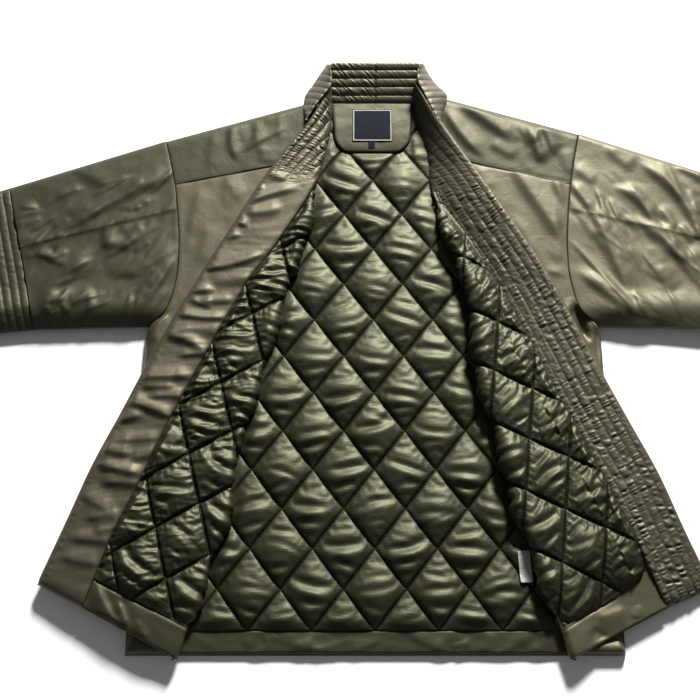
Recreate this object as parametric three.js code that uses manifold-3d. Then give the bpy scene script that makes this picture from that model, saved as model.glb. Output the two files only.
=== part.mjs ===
// A padded kimono-style coat, lying on its back with both fronts folded outward over themselves.
// Millimetres. +X is across the coat, +Y runs from the hem to the neck, and +Z is up from the surface
// that the coat lies on. The origin is under the middle of the coat, on that surface.
import * as THREE from 'three';
import { mergeVertices } from 'three/addons/utils/BufferGeometryUtils.js';
import Module from 'manifold-3d';

const wasm = await Module();
wasm.setup();

// ---------------------------------------------------------------- driving dimensions
const GAP = 0.3;            // between pieces that meet at a seam
const SHELL = 2.2;          // plain shell cloth with its backing
const RIM = 11.7;           // width of the solid rim where the two layers of the body are sewn together

const HEM_Y = -392;         // back hem
const HEM_DEPTH = 28;       // depth of the back hem facing
const NECK_Y = 338;         // back neck seam
const NECK_HALF = 92;       // half the width of the neck, seam to seam
const COLLAR_TOP_Y = 388;   // top edge of the stand-up part of the band
const COLLAR_TOP_HALF = 60;

const MIDDLE_Y = 5;         // the folded-back corners reach lower than the back hem, so the middle is here

const UNDER_EDGE = 3.5;     // how far the edge of an under wall curls up
const BAND_ROWS = 6;        // lines of padded rows sewn along the band
const CUFF_ROWS = 12;       // the same rows, sewn round the cuff

const DIAMOND = { half: 38, tall: 49 };   // half the width and half the height of one quilted diamond

// Heights of the layers above the surface.
const Z = {
  back: 0,                  // back shell
  backLining: SHELL + GAP,
  hem: 6.5,                 // top of the back hem facing
  quiltLow: 7,              // stitched lines of the back lining
  quiltHigh: 12.4,          // middle of each of its diamonds
  front: 12.8,              // underside of the fronts, where they lie on the back lining
  frontTop: 20,
  turned: 20.3,             // underside of the part of each front that is folded back
  turnedLining: 22,
  turnedLow: 26,
  turnedHigh: 32,
  bandTop: 30,
  facingTop: 27.5,
  sleeveSplit: 8,           // where the under wall and the upper wall of a sleeve lie on each other
};

const COLOUR = {
  shell: 0x6b6757, band: 0x76705c, lining: 0x4b4d3a, facing: 0x66634f, navy: 0x1d2233, white: 0xe6e6e0,
};

// The outline of half the body, from the side of the hem up to the neck point.
const HALF_BODY = [
  { at: 'side of the hem', x: 297, y: HEM_Y },
  { at: 'waist', x: 294, y: -150 },
  { at: 'side', x: 292, y: -14 },
  { at: 'underarm', x: 287, y: 20 },
  { at: 'underarm curve', x: 270, y: 42 },
  { at: 'armhole', x: 255, y: 82 },
  { at: 'armhole', x: 253, y: 130 },
  { at: 'sleeve seam', x: 257, y: 176 },
  { at: 'yoke seam', x: 261, y: 213 },
  { at: 'armhole', x: 268, y: 246 },
  { at: 'shoulder point', x: 277, y: 282 },
  { at: 'neck point', x: NECK_HALF, y: NECK_Y },
];

// Each front, given as if on the right: the line it is folded back along, from the neck to the hem.
const FOLD = {
  right: [
    { x: 55, y: 352 }, { x: 60, y: 322 }, { x: 66, y: 290 }, { x: 73, y: 250 }, { x: 78, y: 212 },
    { x: 93, y: 157 }, { x: 113, y: 94 }, { x: 125, y: 28 }, { x: 131, y: -35 }, { x: 140, y: -84 },
    { x: 160, y: -160 }, { x: 171, y: -216 }, { x: 192, y: -280 }, { x: 207, y: -324 }, { x: 230, y: -398 },
  ],
  left: [
    { x: 54, y: 352 }, { x: 55, y: 322 }, { x: 58, y: 290 }, { x: 68, y: 250 }, { x: 77, y: 212 },
    { x: 86, y: 157 }, { x: 106, y: 94 }, { x: 125, y: 28 }, { x: 140, y: -35 }, { x: 155, y: -84 },
    { x: 174, y: -160 }, { x: 178, y: -216 }, { x: 198, y: -280 }, { x: 210, y: -324 }, { x: 234, y: -398 },
  ],
};

// The band of each front where it is folded back: its free edge, and the edge sewn to the front, which
// is the fold itself as far as the row where the lining begins.
const BAND = {
  right: [
    { freeX: 56, freeY: 357, sewnX: 54, sewnY: 350 },
    { freeX: 70, freeY: 333, sewnX: 58, sewnY: 318 },
    { freeX: 87, freeY: 304, sewnX: 66, sewnY: 284 },
    { freeX: 118, freeY: 255, sewnX: 73, sewnY: 244 },
    { freeX: 144, freeY: 215, sewnX: 80, sewnY: 199 },
    { freeX: 173, freeY: 168, sewnX: 120, sewnY: 134 },
    { freeX: 214, freeY: 100, sewnX: 159, sewnY: 71 },
    { freeX: 250, freeY: 27, sewnX: 194, sewnY: 1 },
    { freeX: 283, freeY: -46, sewnX: 226, sewnY: -71 },
    { freeX: 314, freeY: -110, sewnX: 256, sewnY: -133 },
    { freeX: 347, freeY: -176, sewnX: 289, sewnY: -203 },
    { freeX: 376, freeY: -246, sewnX: 319, sewnY: -267 },
    { freeX: 406, freeY: -314, sewnX: 348, sewnY: -338 },
  ],
  left: [
    { freeX: 56, freeY: 357, sewnX: 54, sewnY: 350 },
    { freeX: 68, freeY: 333, sewnX: 54, sewnY: 320 },
    { freeX: 86, freeY: 304, sewnX: 58, sewnY: 284 },
    { freeX: 118, freeY: 262, sewnX: 67, sewnY: 245 },
    { freeX: 150, freeY: 213, sewnX: 79, sewnY: 207 },
    { freeX: 178, freeY: 164, sewnX: 125, sewnY: 128 },
    { freeX: 214, freeY: 101, sewnX: 162, sewnY: 73 },
    { freeX: 254, freeY: 28, sewnX: 198, sewnY: 4 },
    { freeX: 290, freeY: -44, sewnX: 232, sewnY: -64 },
    { freeX: 315, freeY: -98, sewnX: 258, sewnY: -118 },
    { freeX: 347, freeY: -165, sewnX: 287, sewnY: -187 },
    { freeX: 374, freeY: -233, sewnX: 316, sewnY: -251 },
    { freeX: 405, freeY: -310, sewnX: 348, sewnY: -338 },
  ],
};
const LINING_ROW = 4;       // the row of BAND where the lining begins

// Depth of the facing along the hem of each folded-back front, at the fold and at the band.
const TURNED_HEM = {
  right: { atFold: 34, atBand: 43 },
  left: { atFold: 38, atBand: 36 },
};

// The stitched diamonds of each folded-back front: the fold mirrors them, so their axes lean.
const TURNED_QUILT = {
  right: { lean: 27, x: 228, y: -28 },
  left: { lean: 24, x: 191, y: -61 },
};

// A sleeve, as if on the right: its ends on the armhole and on the cuff seam, and the cuff's own end.
const SLEEVE = {
  cuffTop: { x: 480, y: 213 },
  cuffBottom: { x: 432, y: 14 },
  endTop: { x: 602, y: 174 },
  endBottom: { x: 558, y: 1 },
  seamAt: 0.46,             // where the seam along the sleeve meets the cuff, from top to bottom
};

// The largest folds pressed into the sleeves: soft troughs from one point to another.
const FOLDS = {
  left: [
    { x1: -455, y1: 190, x2: -330, y2: 222, deep: 3.0, wide: 12 },
    { x1: -300, y1: 210, x2: -430, y2: 160, deep: 2.4, wide: 10 },
    { x1: -440, y1: 108, x2: -300, y2: 140, deep: 3.2, wide: 12 },
    { x1: -425, y1: 60, x2: -300, y2: 96, deep: 2.6, wide: 11 },
    { x1: -310, y1: 45, x2: -268, y2: 120, deep: 3.4, wide: 10 },
    { x1: -400, y1: 30, x2: -330, y2: 52, deep: 2.2, wide: 9 },
  ],
  right: [
    { x1: 300, y1: 262, x2: 440, y2: 205, deep: 3.0, wide: 12 },
    { x1: 290, y1: 190, x2: 400, y2: 216, deep: 2.4, wide: 10 },
    { x1: 275, y1: 140, x2: 420, y2: 112, deep: 3.4, wide: 13 },
    { x1: 300, y1: 50, x2: 430, y2: 84, deep: 3.0, wide: 12 },
    { x1: 288, y1: 40, x2: 268, y2: 110, deep: 3.6, wide: 10 },
    { x1: 330, y1: 28, x2: 420, y2: 46, deep: 2.2, wide: 9 },
  ],
};

// ---------------------------------------------------------------- small helpers
const lerp = THREE.MathUtils.lerp;
const clamp = THREE.MathUtils.clamp;
const SIDES = { left: -1, right: 1 };

const between = (a, b, t) => ({ x: lerp(a.x, b.x, t), y: lerp(a.y, b.y, t) });

const distance = (a, b) => Math.hypot(a.x - b.x, a.y - b.y);

// The point a given number of millimetres from a towards b.
const towards = (a, b, mm) => between(a, b, mm / distance(a, b));

const rowsBetween = (table, first, last) => table.slice(first, last + 1);

// The x of a line that falls steadily in y.
function xAt(points, y) {
  const last = points.length - 2;
  const i = clamp(points.findIndex((p) => p.y <= y) - 1, 0, last);
  const [a, b] = [points[i], points[i + 1]];
  return lerp(a.x, b.x, clamp((a.y - y) / (a.y - b.y), 0, 1));
}

const mirrored = (points) => points.map((p) => ({ ...p, x: -p.x })).reverse();

// Moves a closed outline inwards. The outline runs anticlockwise.
function inset(points, mm) {
  return points.map((p, i) => {
    const a = points.at(i - 1);
    const b = points[(i + 1) % points.length];
    const [la, lb] = [distance(a, p), distance(p, b)];
    const n1 = { x: -(p.y - a.y) / la, y: (p.x - a.x) / la };
    const n2 = { x: -(b.y - p.y) / lb, y: (b.x - p.x) / lb };
    const scale = mm / Math.max(1 + n1.x * n2.x + n1.y * n2.y, 0.4);
    return { x: p.x + (n1.x + n2.x) * scale, y: p.y + (n1.y + n2.y) * scale };
  });
}

// ---------------------------------------------------------------- cloth walls
// A wall of cloth from a grid of points. Each has its place and the heights of its underside and top.
function wall(rows) {
  const across = rows[0].length;
  const positions = [];
  const index = [];
  for (const side of ['low', 'high']) {
    for (const row of rows) {
      for (const p of row) positions.push(p.x, p.y, p[side]);
    }
  }
  const top = rows.length * across;
  const at = (i, j) => i * across + j;
  const [a, b, c] = [rows[0][0], rows[0].at(-1), rows.at(-1)[0]];
  const turn = (b.x - a.x) * (c.y - a.y) - (b.y - a.y) * (c.x - a.x) > 0;
  const face = (...corners) => {
    const [p, q, r, s] = turn ? corners : corners.reverse();
    index.push(p, q, r, p, r, s);
  };
  for (let i = 0; i < rows.length - 1; i += 1) {
    for (let j = 0; j < across - 1; j += 1) {
      const ring = [at(i, j), at(i, j + 1), at(i + 1, j + 1), at(i + 1, j)];
      face(...ring.map((v) => v + top));
      face(...ring.reverse());
    }
  }
  const rim = [];
  for (let j = 0; j < across - 1; j += 1) rim.push(at(0, j));
  for (let i = 0; i < rows.length - 1; i += 1) rim.push(at(i, across - 1));
  for (let j = across - 1; j > 0; j -= 1) rim.push(at(rows.length - 1, j));
  for (let i = rows.length - 1; i > 0; i -= 1) rim.push(at(i, 0));
  rim.forEach((v, k) => {
    const w = rim[(k + 1) % rim.length];
    face(v, w, w + top, v + top);
  });
  const geometry = new THREE.BufferGeometry();
  geometry.setAttribute('position', new THREE.Float32BufferAttribute(positions, 3));
  geometry.setIndex(index);
  return geometry;
}

// A flat piece of cloth: an outline raised from one height to another.
function flat(outline, low, high) {
  const shape = new THREE.Shape(outline.map((p) => new THREE.Vector2(p.x, p.y)));
  const geometry = new THREE.ExtrudeGeometry(shape, { depth: high - low, bevelEnabled: false });
  return geometry.translate(0, 0, low);
}

function toSolid(geometry) {
  const bare = geometry.clone();
  bare.deleteAttribute('normal');
  bare.deleteAttribute('uv');
  const merged = mergeVertices(bare, 1e-3);
  return new wasm.Manifold(new wasm.Mesh({
    numProp: 3,
    vertProperties: new Float32Array(merged.attributes.position.array),
    triVerts: new Uint32Array(merged.index.array),
  }));
}

function fromSolid(solid) {
  const mesh = solid.getMesh();
  const geometry = new THREE.BufferGeometry();
  geometry.setAttribute('position', new THREE.Float32BufferAttribute(mesh.vertProperties, 3));
  geometry.setIndex(new THREE.Uint32BufferAttribute(mesh.triVerts, 1));
  return geometry;
}

// Quilted cloth: low along the stitched lines and high in the middle of each diamond. `place` turns a
// point of the lattice into a point of the coat, and the outline cuts the piece out.
function quilted(outline, place, bottom, low, high) {
  const reach = { across: 12, along: 10 };
  const positions = [];
  const index = [];
  const wide = 2 * reach.across + 1;
  const tall = 2 * reach.along + 1;
  for (const layer of ['under', 'over']) {
    for (let n = -reach.along; n <= reach.along; n += 1) {
      for (let m = -reach.across; m <= reach.across; m += 1) {
        const p = place(m * DIAMOND.half, n * DIAMOND.tall);
        const crest = (m + n) % 2 === 0 ? low : high;
        positions.push(p.x, p.y, layer === 'under' ? bottom : crest);
      }
    }
  }
  const over = wide * tall;
  const at = (i, j) => i * wide + j;
  for (let i = 0; i < tall - 1; i += 1) {
    for (let j = 0; j < wide - 1; j += 1) {
      const [a, b, c, d] = [at(i, j), at(i, j + 1), at(i + 1, j + 1), at(i + 1, j)];
      const stitched = (i + j + reach.along + reach.across) % 2 === 0;
      const halves = stitched ? [[a, b, c], [a, c, d]] : [[a, b, d], [b, c, d]];
      for (const [p, q, r] of halves) {
        index.push(p + over, q + over, r + over, p, r, q);
      }
    }
  }
  const rim = [];
  for (let j = 0; j < wide - 1; j += 1) rim.push(at(0, j));
  for (let i = 0; i < tall - 1; i += 1) rim.push(at(i, wide - 1));
  for (let j = wide - 1; j > 0; j -= 1) rim.push(at(tall - 1, j));
  for (let i = tall - 1; i > 0; i -= 1) rim.push(at(i, 0));
  rim.forEach((v, k) => {
    const w = rim[(k + 1) % rim.length];
    index.push(v, w, w + over, v, w + over, v + over);
  });
  const sheet = new THREE.BufferGeometry();
  sheet.setAttribute('position', new THREE.Float32BufferAttribute(positions, 3));
  sheet.setIndex(index);
  const cutter = toSolid(flat(outline, bottom - 1, high + 1));
  return toSolid(sheet).intersect(cutter);
}

const coat = new THREE.Group();
coat.position.y = MIDDLE_Y;

function add(name, geometry, colour, roughness = 0.6) {
  const material = new THREE.MeshStandardMaterial({ color: colour, roughness, metalness: 0 });
  const mesh = new THREE.Mesh(geometry, material);
  mesh.name = name;
  coat.add(mesh);
}

// ---------------------------------------------------------------- back
const halfBody = HALF_BODY.map(({ x, y }) => ({ x, y }));
const bodyOutline = [...halfBody, ...mirrored(halfBody)];

function addBack() {
  add('back_shell', flat(bodyOutline, Z.back, SHELL), COLOUR.shell);

  const hemTop = HEM_Y + HEM_DEPTH;
  const half = 297 - RIM - 1;
  const hem = [
    { x: -half, y: HEM_Y + 1 }, { x: half, y: HEM_Y + 1 }, { x: half, y: hemTop }, { x: -half, y: hemTop },
  ];
  add('back_hem_facing', flat(hem, Z.backLining, Z.hem), COLOUR.facing);

  // The facing under the neck seam is a plain piece with two round corners.
  const facing = { half: 56, lowHalf: 50, bottom: 264, corner: 24 };
  const corner = (side) => [0, 1, 2, 3, 4].map((k) => {
    const angle = (k / 4) * Math.PI / 2;
    const reach = facing.lowHalf - facing.corner * (1 - Math.sin(angle));
    return { x: side * reach, y: facing.bottom + facing.corner * (1 - Math.cos(angle)) };
  });
  const facingOutline = [
    ...corner(1),
    { x: facing.half, y: NECK_Y - GAP },
    { x: -facing.half, y: NECK_Y - GAP },
    ...corner(-1).reverse(),
  ];
  add('neck_facing', flat(facingOutline, Z.backLining, 10), COLOUR.facing);

  const body = inset(bodyOutline, RIM + GAP);
  const above = body.map((p) => ({ x: p.x, y: Math.max(p.y, hemTop + 1) }));
  const lattice = (x, y) => ({ x, y: y + 28 });
  const notch = toSolid(flat(inset(facingOutline, -GAP), 0, Z.quiltHigh + 2));
  const lining = quilted(above, lattice, Z.backLining, Z.quiltLow, Z.quiltHigh).subtract(notch);
  add('back_lining', fromSolid(lining), COLOUR.lining, 0.4);

  const label = { x: 0, y: 304, half: 26.5, tall: 24 };
  const box = (cx, cy, hx, hy, low, high) => new THREE.BoxGeometry(2 * hx, 2 * hy, high - low)
    .translate(cx, cy, (low + high) / 2);
  add('neck_label', box(label.x, label.y, label.half, label.tall, 10.3, 11.5), COLOUR.navy);
  add('size_tab', box(-1, 273.5, 4.2, 6, 10.3, 11.3), COLOUR.navy);

  const care = [{ x: 173, y: -307 }, { x: 190, y: -307 }, { x: 186, y: -270 }, { x: 174, y: -269 }];
  add('care_label', flat(care, Z.quiltHigh + GAP, Z.quiltHigh + GAP + 1), COLOUR.white);
}

// ---------------------------------------------------------------- fronts
// How far in from the fold the layers under it stop, so that the outermost one can wrap round them.
const LIP = 6;

// Lowers a height by the folds near a point.
function pressed(side, p, height) {
  return FOLDS[side].reduce((z, f) => {
    const [dx, dy] = [f.x2 - f.x1, f.y2 - f.y1];
    const t = clamp(((p.x - f.x1) * dx + (p.y - f.y1) * dy) / (dx * dx + dy * dy), 0, 1);
    const away = Math.hypot(p.x - f.x1 - t * dx, p.y - f.y1 - t * dy) / f.wide;
    return z - f.deep * Math.exp(-away * away);
  }, height);
}

// The height of the rounded edge of a padded layer, a number of millimetres in from the edge.
function rounded(edge, full, mm, radius = 16) {
  const t = clamp(mm / radius, 0, 1);
  return lerp(edge, full, Math.sqrt(1 - (1 - t) * (1 - t)));
}

// The outer part of a front, from the yoke seam to the hem, lying on the back lining.
function addFrontPanel(side) {
  const sign = SIDES[side];
  const hemTop = HEM_Y + HEM_DEPTH;
  const sideEdge = rowsBetween(halfBody, 0, 2).reverse();
  const onArmhole = rowsBetween(halfBody, 2, 8).reverse();
  const foldY = [250, 212, 157, 94, 61, 28, -35];
  const onSide = [-84, -160, -216, -280, -324, hemTop + 0.9, hemTop - 0.5, HEM_Y];
  const outer = [
    ...onArmhole.map((p, i) => ({ ...p, foldY: foldY[i], seamed: p.y > 30 })),
    ...onSide.map((y) => ({ x: xAt(sideEdge, y), y, foldY: y, seamed: false })),
  ];
  const rows = outer.map((edge) => {
    const inner = { x: xAt(FOLD[side], edge.foldY) + LIP + 1, y: edge.foldY };
    const onHem = edge.y < hemTop;
    const rim = [0, 5, RIM - 0.5, RIM].map((mm) => ({ p: towards(edge, inner, mm), mm }));
    const rest = [0.25, 0.5, 0.75, 1].map((f) => ({ p: between(rim.at(-1).p, inner, f), mm: 60 }));
    return [...rim, ...rest].map(({ p, mm }) => {
      const onRim = mm < RIM;
      const high = edge.seamed ? Z.frontTop : rounded(8, Z.frontTop, mm);
      return {
        x: sign * p.x,
        y: p.y,
        low: onRim ? Z.backLining : (onHem ? Z.hem + GAP : Z.front),
        high: onHem ? Math.min(high, 15) : high,
      };
    });
  });
  add(`front_panel_${side}`, wall(rows), COLOUR.shell);
}

// The edge of a yoke where the band is sewn to it, from the neck point down to the yoke seam.
function yokeInnerEdge(side) {
  const y = HALF_BODY[8].y + 38;
  return [{ x: NECK_HALF, y: NECK_Y }, { x: xAt(FOLD[side], y) + LIP + 1, y }];
}

// The yoke, from the shoulder to the yoke seam.
function addYoke(side) {
  const [seam, armhole, shoulder] = halfBody.slice(8).map((p) => ({ ...p }));
  const [neck, seamIn] = yokeInnerEdge(side);
  const nearEdge = [0, 5, RIM - 0.5, RIM].map((mm) => (
    { edge: towards(shoulder, armhole, mm), inner: towards(neck, seamIn, mm), mm }
  ));
  const stations = [
    ...nearEdge,
    { edge: armhole, inner: between(neck, seamIn, 0.5), mm: 37 },
    { edge: { x: seam.x, y: seam.y + GAP }, inner: { x: seamIn.x, y: seamIn.y + GAP }, mm: 80 },
  ];
  const rows = stations.map(({ edge, inner, mm }) => [0, 0.055, 0.06, 0.35, 0.65, 1].map((u) => {
    const p = between(edge, inner, u);
    const onRim = u < 0.058 || mm < RIM;
    return {
      x: SIDES[side] * p.x,
      y: p.y,
      low: onRim ? Z.backLining : Z.front,
      high: rounded(7, Z.frontTop, mm),
    };
  }));
  add(`front_yoke_${side}`, wall(rows), COLOUR.shell);
}

// The part of a front that is folded back: shell underneath, quilted lining on top, and along the hem a
// plain facing. The lining and the facing wrap round the fold.
function addTurnedFront(side) {
  const sign = SIDES[side];
  const sewn = BAND[side].slice(LINING_ROW).map((b) => ({ x: b.sewnX - GAP, y: b.sewnY }));
  const fold = [sewn[0], ...FOLD[side].filter((p) => p.y < sewn[0].y - 5)];
  const sewnCut = towards(sewn.at(-1), sewn.at(-2), TURNED_HEM[side].atBand);
  const foldCut = towards(fold.at(-1), fold.at(-2), TURNED_HEM[side].atFold);
  const inwards = (points, mm) => points.map((p) => ({ x: p.x + mm, y: p.y }));
  const turn = (outline) => (sign > 0 ? outline : mirrored(outline));
  const prism = (outline, low, high) => toSolid(flat(turn(outline), low, high));
  const ring = (points, from, to) => [...inwards(points, from).reverse(), ...inwards(points, to)].reverse();

  const whole = [...fold, ...[...sewn].reverse()];
  const lip = ring(fold, -3, LIP + GAP);
  const shell = prism(whole, Z.turned, Z.turned + SHELL - 0.8).subtract(prism(lip, 0, 60));
  add(`turned_shell_${side}`, fromSolid(shell), COLOUR.shell);

  const liningFold = [...fold.slice(0, -1), foldCut];
  const liningSewn = [...sewn.slice(0, -1), sewnCut];
  const quiltOutline = [...liningFold, ...[...liningSewn].reverse()];
  const q = TURNED_QUILT[side];
  const lean = THREE.MathUtils.degToRad(q.lean);
  const lattice = (u, v) => ({
    x: sign * q.x + Math.cos(lean) * u - sign * Math.sin(lean) * v,
    y: q.y + sign * Math.sin(lean) * u + Math.cos(lean) * v,
  });
  const wrap = (points) => (
    prism(ring(points, 0, LIP), Z.front, Z.turnedLow - 1).intersect(prism(whole, 0, 60))
  );
  const quilt = quilted(turn(quiltOutline), lattice, Z.turnedLining, Z.turnedLow, Z.turnedHigh);

  const facingFold = [foldCut, fold.at(-1)];
  const facing = [...facingFold, sewn.at(-1), sewnCut];
  const [hemIn, hemOut] = [fold.at(-1), sewn.at(-1)];
  const room = [
    towards(foldCut, sewnCut, -3), towards(hemIn, hemOut, -3), towards(hemOut, hemIn, -3),
    towards(sewnCut, foldCut, -3),
  ];
  const roomForFacing = prism(room, 0, 60);
  const facingShell = prism(facing, Z.turnedLining, Z.facingTop).add(wrap(facingFold));
  const lining = quilt.add(wrap(liningFold)).subtract(roomForFacing.translate([0, 0.5, 0]));
  add(`front_lining_${side}`, fromSolid(lining), COLOUR.lining, 0.4);
  add(`turned_hem_facing_${side}`, fromSolid(facingShell.intersect(roomForFacing)), COLOUR.facing);
}

// The band where it is folded back with the front, with its padded rows. Near the neck its inner edge is
// the fold, and wraps round it.
function addBand(side) {
  const table = BAND[side];
  const steps = 2 * (table.length - 1);
  const smooth = side === 'left';
  const columns = smooth ? 4 : 2 * BAND_ROWS;
  const rows = [];
  for (let k = 0; k <= steps; k += 1) {
    const [a, b] = [table[Math.floor(k / 2)], table[Math.ceil(k / 2)]];
    const free = between({ x: a.freeX, y: a.freeY }, { x: b.freeX, y: b.freeY }, 0.5);
    const sewn = between({ x: a.sewnX, y: a.sewnY }, { x: b.sewnX, y: b.sewnY }, 0.5);
    const wraps = k < 2 * LINING_ROW;
    const width = distance(free, sewn);
    const lip = Math.min(LIP, width * 0.6);
    const row = [];
    for (let j = 0; j <= columns; j += 1) {
      const crest = smooth ? (k % 2) * 3 - 1.5 : (j % 2) * 2.4 - 1.4;
      const edge = j === 0 || j === columns ? -3 : crest;
      row.push({ p: between(free, towards(sewn, free, lip), j / columns), low: Z.turned, high: Z.bandTop + edge });
    }
    const lipLow = wraps ? lerp(16, Z.front, clamp(k / 2, 0, 1)) : Z.turned;
    row.push({ p: towards(sewn, free, lip * 0.95), low: lipLow, high: Z.bandTop - 3 });
    row.push({ p: sewn, low: lipLow, high: Z.bandTop - 7 });
    rows.push(row.map(({ p, low, high }) => ({ x: SIDES[side] * p.x, y: p.y, low, high })));
  }
  add(`band_front_${side}`, wall(rows), COLOUR.band);
}

// The stand-up part of the band at the back of the neck, in two halves, and the strip at each side of
// the neck where it is folded forward over itself, outer face up.
function addCollar(side) {
  const sign = SIDES[side];
  const height = (t) => ({ low: lerp(2.5, 12, t), high: lerp(10, 19, t) });
  const rows = [];
  for (let k = 0; k <= 2 * BAND_ROWS; k += 1) {
    const t = k / (2 * BAND_ROWS);
    const y = lerp(NECK_Y + GAP, COLLAR_TOP_Y, t);
    const outerX = lerp(NECK_HALF, COLLAR_TOP_HALF, t);
    const { low, high } = height(t);
    const crest = (k % 2) * 1.6 - 0.6;
    rows.push([0, 0.25, 0.5, 0.75, 1].map((u) => (
      { x: sign * lerp(GAP / 2, outerX, u), y, low, high: high + crest }
    )));
  }
  add(`band_back_${side}`, wall(rows), COLOUR.band);

  const [neck, seamIn] = yokeInnerEdge(side);
  const edge = [neck, seamIn];
  const strip = [
    { y: COLLAR_TOP_Y, inner: 55.5, outer: COLLAR_TOP_HALF },
    { y: 357, inner: 57, outer: lerp(NECK_HALF, COLLAR_TOP_HALF, 0.38) },
    { y: NECK_Y, inner: 63, outer: NECK_HALF - GAP },
    { y: 310, inner: 69, outer: xAt(edge, 310) - GAP },
    { y: 280, inner: 74, outer: xAt(edge, 280) - GAP },
  ];
  const outerFace = strip.map(({ y, inner, outer }) => {
    const t = clamp((y - NECK_Y) / (COLLAR_TOP_Y - NECK_Y), 0, 1);
    const low = Math.max(Z.front, height(t).high + 1 + GAP);
    const high = y > 357 ? low + 6.5 : Z.frontTop;
    return [0, 0.5, 1].map((u) => (
      { x: sign * lerp(inner, outer, u), y, low, high: high - (u === 1 ? 3 : 0) }
    ));
  });
  add(`band_side_${side}`, wall(outerFace), COLOUR.band);
}

// ---------------------------------------------------------------- sleeves
// A sleeve lies flat: an under wall, and on it an upper wall of two panels with a seam along it. The
// cuff is the same, in padded rows.
function addSleeve(side) {
  const sign = SIDES[side];
  const armhole = rowsBetween(halfBody, 3, 10).reverse();
  const seamRow = armhole.findIndex((p) => p.y === 176);
  const cuffSeam = between(SLEEVE.cuffTop, SLEEVE.cuffBottom, SLEEVE.seamAt);
  const endSeam = between(SLEEVE.endTop, SLEEVE.endBottom, SLEEVE.seamAt);

  // Points down the armhole, each with its partner on the cuff seam and on the cuff's end.
  const chain = (points, top, bottom) => {
    const total = points.slice(1).reduce((sum, p, i) => sum + distance(points[i], p), 0);
    let run = 0;
    return points.map((p, i) => {
      if (i > 0) run += distance(points[i - 1], p);
      const t = run / total;
      return { arm: p, cuff: between(top.cuff, bottom.cuff, t), end: between(top.end, bottom.end, t) };
    });
  };
  const upperEdge = [armhole[0], towards(armhole[0], armhole[1], 5), towards(armhole[0], armhole[1], 16)];
  const lowerEdge = [
    towards(armhole.at(-1), armhole.at(-2), 13), towards(armhole.at(-1), armhole.at(-2), 4), armhole.at(-1),
  ];
  const top = { cuff: SLEEVE.cuffTop, end: SLEEVE.endTop };
  const middle = { cuff: cuffSeam, end: endSeam };
  const bottom = { cuff: SLEEVE.cuffBottom, end: SLEEVE.endBottom };
  const upperChain = chain([...upperEdge, ...armhole.slice(1, seamRow + 1)], top, middle);
  const lowerChain = chain([...armhole.slice(seamRow, -1), ...lowerEdge], middle, bottom);
  const full = [...upperChain, ...lowerChain.slice(1)];

  const fromEdge = ({ cuff }) => Math.min(distance(cuff, SLEEVE.cuffTop), distance(cuff, SLEEVE.cuffBottom));
  const upperWall = (stations, shift) => stations.map((station, i) => {
    const mm = fromEdge(station);
    const arm = towards(station.arm, station.cuff, GAP + 0.1);
    const cuff = towards(station.cuff, station.arm, GAP);
    const nudge = i === 0 ? shift : 0;
    return [0, 0.06, 0.2, 0.36, 0.52, 0.68, 0.84, 0.95, 1].map((u) => {
      const p = between(arm, cuff, u);
      const crown = rounded(10, 22.5, mm, 22) - (u === 0 || u === 1 ? 2 : 0);
      const point = { x: sign * p.x, y: p.y - nudge };
      return { ...point, low: Z.sleeveSplit + GAP, high: Math.max(pressed(side, point, crown), 9.6) };
    });
  });
  add(`sleeve_upper_${side}`, wall(upperWall(upperChain, 0)), COLOUR.shell);
  add(`sleeve_lower_${side}`, wall(upperWall(lowerChain, GAP)), COLOUR.shell);

  const under = full.map((station) => {
    const onEdge = fromEdge(station) === 0;
    const arm = towards(station.arm, station.cuff, GAP + 0.1);
    const cuff = towards(station.cuff, station.arm, GAP);
    return [0, 0.5, 1].map((u) => {
      const p = between(arm, cuff, u);
      return { x: sign * p.x, y: p.y, low: onEdge ? UNDER_EDGE : 0, high: Z.sleeveSplit };
    });
  });
  add(`sleeve_under_${side}`, wall(under), COLOUR.shell);

  // The cuff, from its top edge to its bottom edge, with a ridge for each padded row.
  const downCuff = [0, 0.025, 0.1, 0.5, 0.9, 0.975, 1];
  const cuffRows = (steps, low, high) => downCuff.map((t) => {
    const seam = between(SLEEVE.cuffTop, SLEEVE.cuffBottom, t);
    const end = between(SLEEVE.endTop, SLEEVE.endBottom, t);
    const mm = Math.min(t, 1 - t) * distance(SLEEVE.cuffTop, SLEEVE.cuffBottom);
    const row = [];
    for (let k = 0; k <= steps; k += 1) {
      const p = between(seam, end, k / steps);
      row.push({ x: sign * p.x, y: p.y, low: low(mm), high: high(mm, k) });
    }
    return row;
  });
  const onTop = cuffRows(2 * CUFF_ROWS, () => Z.sleeveSplit + GAP, (mm, k) => {
    const crest = k % 2 === 1 ? 0 : -2;
    return Math.max(rounded(10, 21, mm, 22) + crest, 9.6);
  });
  add(`cuff_upper_${side}`, wall(onTop), COLOUR.band);
  const underneath = cuffRows(2, (mm) => (mm === 0 ? UNDER_EDGE : 0), () => Z.sleeveSplit);
  add(`cuff_under_${side}`, wall(underneath), COLOUR.band);
}

addBack();
for (const side of Object.keys(SIDES)) {
  addFrontPanel(side);
  addYoke(side);
  addTurnedFront(side);
  addBand(side);
  addCollar(side);
  addSleeve(side);
}

export default coat;
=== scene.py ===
"""A padded kimono-style coat, lying open on its back with both fronts folded outward.

The tables give the coat in millimetres, lying on the floor: x runs across it and y from the hem to the
neck. Edges and seams of one side are given as if on the right, and folds and lattices where they lie.
"""

import math
from functools import cache, partial

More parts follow.
